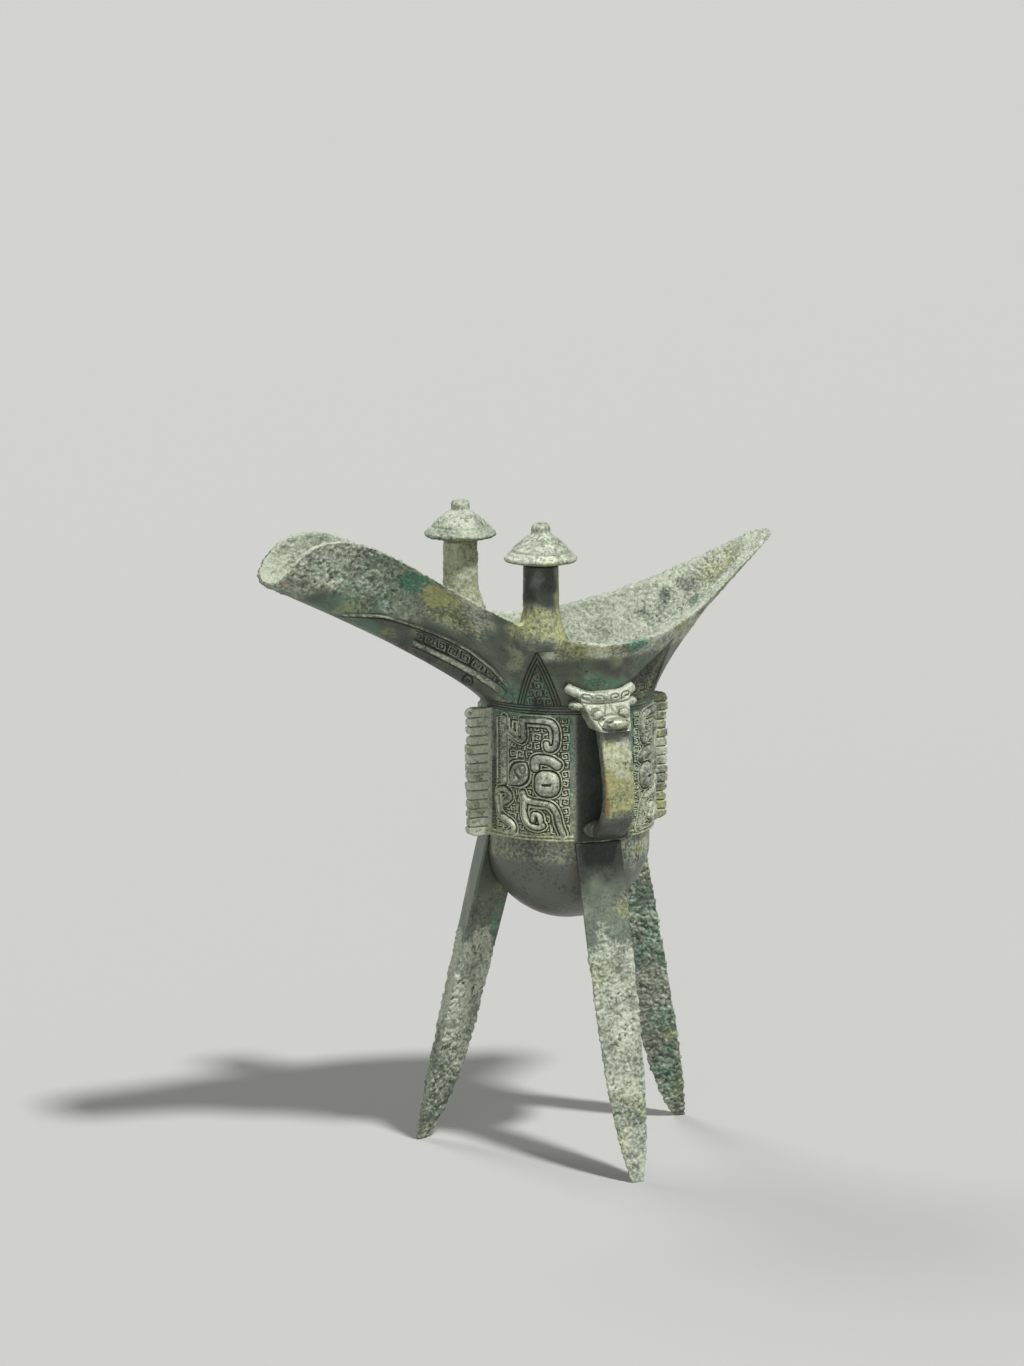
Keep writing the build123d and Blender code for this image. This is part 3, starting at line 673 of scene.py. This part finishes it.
def make_cap(name, axis_y, crust_share, seed, material, slot):
    """A cap with its ring and whorl cut in and its skin corroded."""
    mesh = skin_of(0.3, name)
    points, facing = read(mesh)
    x, y = points[:, 0] - POST_X, points[:, 1] - axis_y
    radius = np.hypot(x, y)
    top = ramp(facing[:, 2], 0.1, 0.4)
    ring = top * close_to(radius - CAP_RING, 0.15, 0.4)
    apart = 360.0 / STROKES
    sweep = (np.degrees(np.arctan2(y, x)) + STROKE_TURN * radius) % apart - apart / 2
    stroke = np.abs(sweep) * radius * pi / 180
    whorl = top * close_to(stroke, 0.15, 0.45) * ramp(radius, 3.6, 4.2) * (1 - ramp(radius, 7.8, 8.4))
    carved = np.maximum(0.7 * ring, 0.8 * whorl)
    crust = crust_share * (0.7 + 0.3 * lumps(points, 5.0, seed))
    out, crevices = corrode(points + seed, crust)
    points = points + facing * (0.8 * out - 0.3 * carved)[:, None]
    below = 1 - ramp(facing[:, 2], -0.6, -0.1)
    write(mesh, points, crust=crust, dirt=np.maximum(0.5 * carved, 0.65 * crevices), green=0.5 * below,
          chalk=0.62 * (1 - below) + 0.2 * lumps(points, 4.0, seed + 2),
          olive=0.4 * below + 0.5 * patch(points, (-24, axis_y - 8, 190), (5, 4, 1.5)))
    return show(name + "_cast", mesh, material, slot, name)


make_cap("handle_post_cap", -POST_Y, crust_share=0.28, seed=31, material=green_bronze, slot="green_bronze")
make_cap("back_post_cap", POST_Y, crust_share=0.85, seed=32, material=crusted_bronze, slot="crusted_bronze")

# %% [markdown]
# The cup is the plainest piece: smooth, dark, a little wavy from the casting. A coarser remesh is enough,
# with low waves outside and a thin crust inside, where wine and earth lay.

# %% Belly
# below this height the cup curves in to its floor
BOWL_TOP = 98.6


def from_axis(points):
    """Distance of each point from the cup's axis."""
    return np.hypot(points[:, 0], points[:, 1])


mesh = skin_of(1.0, "belly")
points, facing = read(mesh)
inward = -(points[:, :2] * facing[:, :2]).sum(1) / np.maximum(from_axis(points), 1.0)
upward = np.where(points[:, 2] < BOWL_TOP, facing[:, 2], 0.0)
hollow = ramp(inward + upward, -0.1, 0.1)
shell = 1 - hollow
crust = 0.8 * hollow + shell * 0.10
out, crevices = corrode(points, crust)
points = points + facing * out[:, None]
bowl = 1 - ramp(points[:, 2] + 0.5 * lumps(points, 4.0, 28), 93.5, 95.0)
clouds = (1 - bowl) * ramp(lumps(points, 11.0, 26), 0.0, 0.7)
write(mesh, points, crust=crust, dirt=0.6 * crevices, dark=shell * (0.12 + 0.2 * bowl),
      rust=0.34 * shell * bowl * ramp(lumps(points, 9.0, 29), -0.2, 0.6),
      green=0.5 * shell * np.maximum(patch(points, (14, -20, 96), (9, 8, 5)), clouds),
      # the chalk patch and the first olive patch, on the cup's right front shoulder near (15, -20), are
      # painted light where the key falls
      chalk=0.42 * shell * patch(points, (15, -20, 95), (8, 8, 6)),
      olive=shell * np.maximum(0.6 * patch(points, (16, -20, 97), (6, 6, 4)), 0.3 * (1 - bowl)))
show("belly_cup", mesh, smooth_bronze, "smooth_bronze", "belly")

# %% [markdown]
# The frieze is what a jue is known for: half a taotie mask on each quarter, between two flanges or between a
# flange and the handle. Each panel is a plate of two flat grids, a fine one for its face and a coarse one for
# its back, bridged at their rims. It is bent round the cup, with its face raised by the mask's bands and cut
# by the leiwen between them. Lines are drawn on the unrolled quarter in millimetres.

# %% The mask's lines
R_FRIEZE, R_BELLY, Z_FRIEZE, H_FRIEZE = 26.3, 25.3, 101.5, 39.0
QUARTER = R_FRIEZE * pi / 2
# raised bands: a line, and half its width
BANDS = (
    (((8.8, 17.2), (8.8, 36.9)), 0.75),
    (((10.0, 33.2), (13.4, 31.0), (16.6, 30.4), (15.7, 37.1)), 0.65),
    (((15.7, 37.1), (24.4, 37.2), (26.2, 35.2), (26.5, 32.0), (26.0, 28.8), (23.6, 28.4),
      (23.4, 30.0)), 0.72),
    (((19.8, 22.6), (19.6, 25.3), (24.2, 25.3), (26.6, 23.6)), 1.2),
    (((15.7, 14.6), (16.6, 12.1), (24.2, 11.7), (26.4, 9.3), (27.1, 5.3), (28.3, 2.4)), 0.72),
    (((16.5, 12.0), (16.1, 8.2), (17.4, 5.0), (20.2, 4.0), (22.2, 4.8)), 0.65),
    (((21.6, 5.9), (21.3, 8.2), (19.0, 8.3), (19.3, 6.4)), 0.6),
    (((9.2, 11.0), (11.4, 12.6), (10.4, 14.6), (8.0, 14.9), (5.5, 14.2), (6.2, 7.4), (8.8, 5.9), (12.0, 4.9),
      (12.8, 2.8), (10.9, 1.9)), 0.72),
)
NOSE_BANDS = (
    (((31.6, 2.6), (31.6, 11.6), (37.4, 11.6), (37.4, 4.0), (34.6, 4.0), (34.6, 7.0)), 1.0),
    (((31.6, 28.0), (31.6, 36.8), (37.4, 36.8), (37.4, 16.0), (31.6, 16.0), (31.6, 22.0)), 1.0),
)
THIN_LINES = (
    ((5.6, 18.0), (5.6, 36.6)),
    ((10.9, 37.0), (10.9, 33.8), (13.8, 32.0), (13.8, 36.2), (12.2, 36.2), (12.2, 34.2)),
    ((17.6, 35.4), (23.4, 35.4), (24.6, 33.8), (24.6, 31.0)),
    ((6.9, 13.2), (7.6, 8.4)),
    ((17.9, 10.4), (23.4, 10.2), (25.0, 8.4), (25.6, 5.0)),
)
# the middles of ear and eye, and the slit in each
EAR_P, EAR_Q, EYE_P, EYE_Q = 14.3, 20.2, 23.5, 17.8
EAR_SLIT, PUPIL = ((13.0, 21.4), (14.8, 19.2)), ((22.6, 17.6), (24.6, 17.6))
# the worked ground ends beside the handle on a front panel, and beside the back flange on a back one
FRONT_END, BACK_END = 30.2, 39.2


def mask_forms(p, q, at_back):
    """Height of the mask's bands, ear and eye, how far a point is clear of them, and their slits."""
    height, clear = np.zeros(len(p)), np.full(len(p), 1e9)
    for line, half in BANDS + (NOSE_BANDS if at_back else ()):
        away = off_line(p, q, flow(line))
        height = np.maximum(height, 1.35 * np.sqrt(np.clip(1 - (away / (half + 0.12)) ** 4, 0, 1)))
        clear = np.minimum(clear, away - half)
    # the leaf-shaped ear leans, and has a line inside its edge
    turned_p = (p - EAR_P) * 0.80 + (q - EAR_Q) * -0.60
    turned_q = (p - EAR_P) * 0.60 + (q - EAR_Q) * 0.80
    leaf = np.abs(turned_p) / 3.1 + (np.abs(turned_q) / 4.5) ** 2.2
    height = np.maximum(height, 1.45 * np.clip(1 - leaf**3, 0, 1) ** 0.5)
    slits = np.maximum(close_to(off_line(p, q, EAR_SLIT), 0.25, 0.6) * (leaf < 1),
                       0.7 * close_to(leaf - 0.62, 0.06, 0.16))
    # the eye is a rounded square with a slit pupil
    eye = (np.abs(p - EYE_P) / 3.8) ** 2.6 + (np.abs(q - EYE_Q) / 3.9) ** 2.6
    height = np.maximum(height, 2.1 * np.clip(1 - eye, 0, 1) ** 0.5)
    slits = np.maximum(slits, close_to(off_line(p, q, PUPIL), 0.25, 0.5))
    clear = np.minimum(clear, np.minimum((leaf - 1) * 2.2, (eye - 1) * 1.4))
    return height - 0.9 * slits, clear, slits


def mask_relief(p, q, at_back):
    """Height of the relief, and how deep and dark its grooves are, on the unrolled quarter."""
    height, clear, slits = mask_forms(p, q, at_back)
    # outlines follow every form at a small distance, then the leiwen starts
    thin = np.minimum.reduce([off_line(p, q, line) for line in THIN_LINES])
    ridges = np.maximum(0.6 * close_to(thin, 0.2, 0.45), 0.5 * close_to(clear - 0.75, 0.14, 0.34))
    end = BACK_END if at_back else FRONT_END
    field = ramp(p, 4.9, 5.3) * (1 - ramp(p, end, end + 0.4)) * ramp(q, 1.8, 2.2) * (1 - ramp(q, 37.6, 38.2))
    ground = leiwen(p + 0.4, q + 0.3, 2.8, 1.75)
    open_ground = field * ramp(clear, 1.25, 1.4) * ramp(thin, 0.6, 0.8)
    ridges = np.maximum(ridges, 0.5 * ground * open_ground)
    # a hatched strip beside the flange, and two lines along the foot
    hatch = np.abs((q + np.where((p % 1.8) < 0.9, p, -p)) % 0.95 - 0.475) / 0.475
    strip = ramp(p, 1.9, 2.2) * (1 - ramp(p, 4.2, 4.5)) * ramp(q, 1.6, 1.9) * (1 - ramp(q, 22.0, 26.0))
    ridges = np.maximum(ridges, 0.26 * strip * ramp(hatch, 0.3, 0.7))
    for line in (0.35, 1.45):
        ridges = np.maximum(ridges, 0.34 * close_to(q - line, 0.22, 0.5) * (p < end + 1.5))
    total = np.maximum(height, ridges)
    worked = np.maximum(field, strip)
    return total, np.maximum(worked * (1 - ramp(total, 0.08, 0.36)), 0.8 * slits)


print("the mask has", len(BANDS), "bands and", len(THIN_LINES), "thin lines")

# %% Frieze panels
# half the gap that a flange stands in, and how far a plate's back is sunk into the cup
FLANGE_GAP, SUNK = 1.7, 0.3


def plate(name):
    """A flat plate one unit wide, long and thick, with a coarse back and a fine face."""
    bm = bmesh.new()
    bmesh.ops.create_grid(bm, x_segments=24, y_segments=23, size=0.5)
    face = bmesh.ops.create_grid(bm, x_segments=240, y_segments=230, size=0.5)["verts"]
    bmesh.ops.translate(bm, verts=face, vec=(0, 0, 1))
    bmesh.ops.bridge_loops(bm, edges=[e for e in bm.edges if e.is_boundary])
    mesh = bpy.data.meshes.new(name)
    bm.to_mesh(mesh)
    bm.free()
    return mesh


def make_panel(name, side_x, side_y):
    """A quarter of the frieze as a bent plate with half a mask on its face."""
    mesh = plate(name)
    flat = np.empty(3 * len(mesh.vertices), np.float32)
    mesh.vertices.foreach_get("co", flat)
    flat = flat.reshape(-1, 3).astype(float)
    first, last = FLANGE_GAP, QUARTER - (FLANGE_GAP if side_y > 0 else 0.0)
    p, q = first + (flat[:, 0] + 0.5) * (last - first), (flat[:, 1] + 0.5) * H_FRIEZE
    height, dirt = mask_relief(p, q, side_y > 0)
    rough = np.stack([p, q, np.full(len(p), 9.0 * side_x + 5.0 * side_y)], 1)
    crust = ramp(lumps(rough, 7.0, 41) + 0.5 * lumps(rough, 2.5, 42), 0.15, 0.9) * 0.8
    out, crevices = corrode(rough, 0.4 * crust)
    radius = np.where(flat[:, 2] > 0.5, R_FRIEZE + height + 0.6 * out, R_BELLY - SUNK)
    turn = p / R_FRIEZE
    points = np.stack([side_x * radius * np.cos(turn), side_y * radius * np.sin(turn), Z_FRIEZE + q], 1)
    mesh.vertices.foreach_set("co", ((points + cup_axis) * MM).astype(np.float32).ravel())
    bm = bmesh.new()
    bm.from_mesh(mesh)
    bmesh.ops.recalc_face_normals(bm, faces=bm.faces[:])
    bm.to_mesh(mesh)
    print(name, sum(not e.is_manifold for e in bm.edges), "edges left open")
    bm.free()
    # salts along the flange, at the top and beside the handle; the plain wall under the handle is painted
    # dark as the strap's shade
    edge = 1 - ramp(p + 0.6 * lumps(rough, 2.5, 44), 2.4, 4.0)
    green = np.maximum.reduce([
        0.7 * edge,
        0.42 * ramp(lumps(rough, 9.0, 43), 0.1, 0.8) + 0.45 * ramp(q, 36.0, 39.0),
        0.7 * patch(rough, (20.5, 33.5, rough[0, 2]), (4.0, 3.0, 9.0)),
        0.55 * close_to(p - 29.6 + 0.8 * lumps(rough, 3.0, 45), 0.8, 2.4),
    ])
    plain = ramp(p, 31.0, 34.0) * (side_y < 0)
    lines, foot = ramp(height, 0.2, 0.42), 1 - ramp(q, 10.0, 24.0)
    thin = lines * (1 - ramp(height, 0.6, 0.9))
    pale = (1 - plain) * (0.36 * lines + 0.22 * thin + 0.14 * crust + 0.1 * foot)
    # the dark and the dirt on the plain wall under the handle are painted shade
    write(mesh, points, crust=0.25 + 0.45 * crust, chalk=np.maximum(pale, 0.5 * edge),
          olive=(0.6 * thin + 0.4 * foot) * (1 - plain), green=green * (1 - plain),
          dirt=np.maximum.reduce([0.8 * dirt, 0.5 * crevices, 0.55 * plain]), dark=plain)
    return show(name + "_relief", mesh, green_bronze, "green_bronze", name)


make_panel("frieze_spout_handle", -1, -1)
make_panel("frieze_tail_handle", 1, -1)
make_panel("frieze_tail_back", 1, 1)
make_panel("frieze_spout_back", -1, 1)

# %% [markdown]
# The flanges keep their notches through a fine remesh. On the real ones no two segments stand out alike and
# many corners are chipped, so noise moves each segment in or out and nicks it beside the notches. Earth and
# rust sit in the notches, so the fields are drawn from the notch spacing again.

# %% Flanges
FLANGE_LOW, FLANGE_TALL, SEGMENTS = 101.0, 39.5, 14
# how far apart in the noise two neighbouring segments look
SEGMENT_STEP = np.array([3.7, 1.3, 2.1])


def make_flange(name, seed, pale):
    """A fin of uneven segments with rust in its notches; pale is how chalky it is, raised partly as painted
    light where a fin sits in shade.
    """
    mesh = skin_of(0.18, name)
    points, facing = read(mesh)
    pitch = FLANGE_TALL / SEGMENTS
    notch = (points[:, 2] - FLANGE_LOW + pitch / 2) % pitch - pitch / 2
    groove = close_to(notch, 0.14, 0.3) * ramp(from_axis(points), 27.0, 27.6)
    crust = np.clip(0.55 + 0.5 * lumps(points, 4.0, seed), 0, 1)
    out, crevices = corrode(points, crust)
    points = points + facing * (0.35 * out)[:, None]
    # no two segments stand out alike, and their corners are chipped
    reach = from_axis(points)
    segment = np.floor((points[:, 2] - FLANGE_LOW) / pitch)[:, None] * SEGMENT_STEP
    chips = ramp(lumps(points, 1.8, seed + 5), 0.2, 0.7) * close_to(notch, 0.3, 1.1)
    uneven = (0.55 * lumps(segment, 1.7, seed + 6) - 0.7 * chips) * ramp(reach, 27.5, 31.0)
    points[:, :2] *= (1 + uneven / reach)[:, None]
    root = 1 - ramp(from_axis(points) + 0.8 * lumps(points, 2.0, seed + 3), 26.6, 28.6)
    # the chalk just under each notch, on the lip of the segment below, is a painted highlight; the other
    # spots are pale crust and mint crust at the root
    spots = 0.5 * lumps(points, 1.6, seed + 1) + 0.4 * (ramp(notch, -0.8, -0.4) * (notch < 0)) + 0.3 * root
    write(mesh, points, crust=crust, chalk=pale + 0.3 * lumps(segment, 1.7, seed) + spots,
          green=0.5 * root, olive=0.55 + 0.4 * lumps(points, 4.0, seed + 4),
          dirt=np.maximum(0.55 * groove, 0.3 * crevices),
          rust=0.35 * lumps(segment, 1.7, seed + 2) + 0.6 * groove)
    return show(name + "_fin", mesh, green_bronze, "green_bronze", name)


# the spout flange's high pale is partly its pale crust and partly painted light on a face that the mouth
# above shades
make_flange("spout_flange", seed=51, pale=0.8)
make_flange("tail_flange", seed=52, pale=0.2)
make_flange("back_flange", seed=53, pale=0.4)

# %% [markdown]
# The handle is a strap with an ox head over its top. The head's horn curls, brows, eyelids and muzzle are cut
# into its front, drawn as lines across (x) and up (z). The strap is worn smooth and stained yellow and rust.

# %% Handle strap
mesh = skin_of(0.3, "handle_strap")
points, facing = read(mesh)
front = ramp(-facing[:, 1], 0.2, 0.6)
crust = 0.15 + 0.5 * patch(points, (4.5, -35.0, 111.0), (3.0, 4.0, 6.0))
out, crevices = corrode(points, crust)
points = points + facing * out[:, None]
z = points[:, 2] + 1.2 * lumps(points, 4.0, 62)
stain = front * ramp(z, 109.0, 113.0) * (1 - ramp(z, 131.0, 135.5))
left = 1 - ramp(points[:, 0] + 0.8 * lumps(points, 2.5, 64), -4.6, -2.6)
write(mesh, points, crust=crust, dirt=0.55 * crevices,
      olive=stain * (0.72 + 0.25 * lumps(points, 3.5, 63)),
      rust=np.maximum(0.66 * stain * left * (z < 124.0),
                      0.5 * (1 - front) * patch(points, (0, -30.0, 106.0), (8.0, 6.0, 6.0))),
      green=0.55 * stain * ramp(lumps(points, 4.0, 65), 0.0, 0.6),
      chalk=0.42 * front * patch(points, (1.0, -36.0, 127.0), (5.0, 5.0, 8.0)) + 0.3 * crust,
      dark=0.52 * (1 - ramp(z, 108.0, 112.0)) + 0.4 * front * ramp(z, 131.0, 135.5))
show("handle_strap_cast", mesh, smooth_bronze, "smooth_bronze", "handle_strap")

# %% Ox head
HEAD_LINES = (
    ((1.2, 145.0), (1.2, 147.0), (3.9, 147.2), (3.9, 145.9), (2.5, 145.9)),
    ((5.0, 145.2), (5.0, 147.1), (7.9, 147.7), (8.1, 146.3), (6.4, 146.1)),
    ((0.0, 144.3), (4.0, 144.4), (8.0, 144.9), (9.8, 146.0)),
    ((0.7, 143.8), (1.2, 142.4), (2.2, 140.9)),
    ((2.0, 141.0), (2.8, 142.8), (4.4, 143.2), (6.0, 142.5), (6.6, 141.0)),
    ((2.4, 140.2), (4.2, 139.6), (6.2, 140.2)),
    ((0.0, 141.2), (2.8, 140.9), (4.9, 139.8), (5.0, 138.2), (3.4, 137.1), (0.0, 136.9)),
)
# the face leans to one side as it goes up, so lines are measured from its own middle
HEAD_LEAN, HEAD_LOW, HEAD_TALL = 1.4, 136.4, 11.6

mesh = skin_of(0.22, "handle_head")
points, facing = read(mesh)
across, up = np.abs(points[:, 0] + HEAD_LEAN * (points[:, 2] - HEAD_LOW) / HEAD_TALL), points[:, 2]
front = ramp(-facing[:, 1] + 0.8 * facing[:, 2], 0.15, 0.5)
away = np.minimum.reduce([off_line(across, up, flow(line)) for line in HEAD_LINES])
carved = front * close_to(away, 0.14, 0.40)
snout = (1 - ramp(np.hypot(across / 4.3, (up - 139.1) / 1.9), 0.85, 1.05)) * (points[:, 1] < -34.5)
crust = np.clip(0.5 * (1 - snout) * (0.75 + 0.35 * lumps(points, 4.0, 61)), 0, 1)
out, crevices = corrode(points, 0.35 * crust)
points = points + facing * (0.6 * out - 0.38 * carved)[:, None]
stain = 0.5 * patch(points, (4.0, -36.0, 138.5), (2.0, 3.0, 1.5))
write(mesh, points, crust=crust, dirt=np.maximum(0.56 * carved, 0.4 * crevices),
      chalk=np.where(snout > 0.5, 0.45, 0.68) - 0.25 * (1 - front) + 0.15 * lumps(points, 3.0, 66),
      olive=np.maximum(stain, 0.4 + 0.3 * lumps(points, 3.0, 67)))
show("ox_head", mesh, smooth_bronze, "smooth_bronze", "handle_head")

# %% [markdown]
# The legs are blades, and the most corroded part of the vessel. The crust covers each of them up to its own
# height and ends in a ragged edge, and above it a leg is as smooth as the cup. Grit that stands out from the
# skin also breaks the sharp edges.

# %% Legs
def make_leg(name, seed, top, painted_shade, worn, green_share, foot_pale, top_pale):
    """A blade leg, gritty up to the height top with painted shade above it, and worn smooth again near its
    foot.
    """
    mesh = skin_of(0.3, name)
    points, facing = read(mesh)
    z = points[:, 2] + 6.0 * lumps(points, 8.0, seed) + 2.0 * lumps(points, 2.5, seed + 5)
    crust = (1 - ramp(z, top - 3.0, top + 3.0)) * np.clip(0.85 + 0.3 * lumps(points, 6.0, seed + 1), 0, 1)
    crust = crust * (1 - worn * (1 - ramp(z, 16.0, 30.0)))
    out, crevices = corrode(points + seed, crust)
    out = out * np.clip(points[:, 2] / 2.0, 0.0, 1.0)
    points = points + facing * (0.85 * out)[:, None]
    points[:, 2] = np.maximum(points[:, 2], 0.0)
    green = green_share * ramp(lumps(points, 8.0, seed + 2) + 0.6 * lumps(points, 2.6, seed + 3), -0.4, 0.6)
    # near each leg's top the green fades, so that the painted shade shows through
    green = green * (1 - 0.75 * ramp(z, 78.0, 90.0))
    pale = np.interp(z, (22.0, 42.0), (foot_pale, top_pale))
    write(mesh, points, crust=crust * (0.5 + 0.4 * pale), dirt=0.56 * crevices, green=green,
          # chalk on the grain tops is partly pale crust and partly a painted highlight on the grains
          chalk=crust * (pale * (0.8 + 0.15 * lumps(points, 7.0, seed + 6)) + 0.15 * ramp(out, 0.0, 0.3)),
          olive=0.5 * ramp(lumps(points, 10.0, seed + 4), 0.2, 0.8),
          # the dark layer above the crust is painted shade under the frieze, deepest on the handle leg where
          # the strap's shadow falls
          dark=painted_shade * ramp(z, top + 4.0, top + 18.0))
    return show(name + "_blade", mesh, crusted_bronze, "crusted_bronze", name)


# the handle leg carries the most painted shade, for the strap's shadow on its top
make_leg("handle_leg", seed=71, top=74.0, painted_shade=0.85, worn=0.2,
         green_share=0.28, foot_pale=0.66, top_pale=0.8)
make_leg("spout_leg", seed=72, top=67.0, painted_shade=0.35, worn=0.0,
         green_share=0.46, foot_pale=0.4, top_pale=0.95)
make_leg("tail_leg", seed=73, top=90.0, painted_shade=0.35, worn=0.0,
         green_share=0.6, foot_pale=0.3, top_pale=0.42)

# %% [markdown]
# The stage is a plain pale floor under soft light. Suns light a floor evenly out to its edge, which lamps
# near the vessel would not: a key from the handle's side throws the shadow back and to the left, a weak one
# fills from the front, and one from behind picks out the rim. The world is pale to the camera and in
# reflections, and lights the shadows a little.

# %% Floor and light
bm = bmesh.new()
bmesh.ops.create_grid(bm, x_segments=1, y_segments=1, size=60.0)
floor_mesh = bpy.data.meshes.new("floor")
bm.to_mesh(floor_mesh)
bm.free()
floor = bpy.data.objects.new("floor", floor_mesh)
bpy.context.scene.collection.objects.link(floor)
card = bpy.data.materials.new("pale_card")
card.use_nodes = True
card.node_tree.nodes["Principled BSDF"].inputs["Base Color"].default_value = linear("#B6B6B3")
card.node_tree.nodes["Principled BSDF"].inputs["Roughness"].default_value = 0.95
floor_mesh.materials.append(card)

for name, came_from, softness, power in (
    ("key", (0.3, -1.0, 1.75), 6.0, 3.3),
    ("fill", (-0.7, -1.0, 0.3), 30.0, 0.5),
    ("rim", (-0.3, 0.9, 1.0), 25.0, 0.9),
):
    lamp = bpy.data.lights.new(name, "SUN")
    lamp.angle, lamp.energy = radians(softness), power
    holder = bpy.data.objects.new(name, lamp)
    holder.location = came_from
    holder.rotation_euler = Vector(came_from).to_track_quat("Z", "Y").to_euler()
    bpy.context.scene.collection.objects.link(holder)

world = bpy.data.worlds.new("pale_room")
world.use_nodes = True
bpy.context.scene.world = world
tree = world.node_tree
sky = tree.nodes["Background"]
rays = add(tree, "ShaderNodeLightPath").outputs
seen = calc(tree, "MAXIMUM", rays["Is Camera Ray"], rays["Is Glossy Ray"])
seen = calc(tree, "MAXIMUM", seen, rays["Is Transmission Ray"])
sky.inputs["Color"].default_value = linear("#F2F2F0")
tree.links.new(remap(tree, seen, 0.0, 1.0, 0.18, 0.66), sky.inputs["Strength"])
bpy.context.scene.view_settings.view_transform = "Standard"
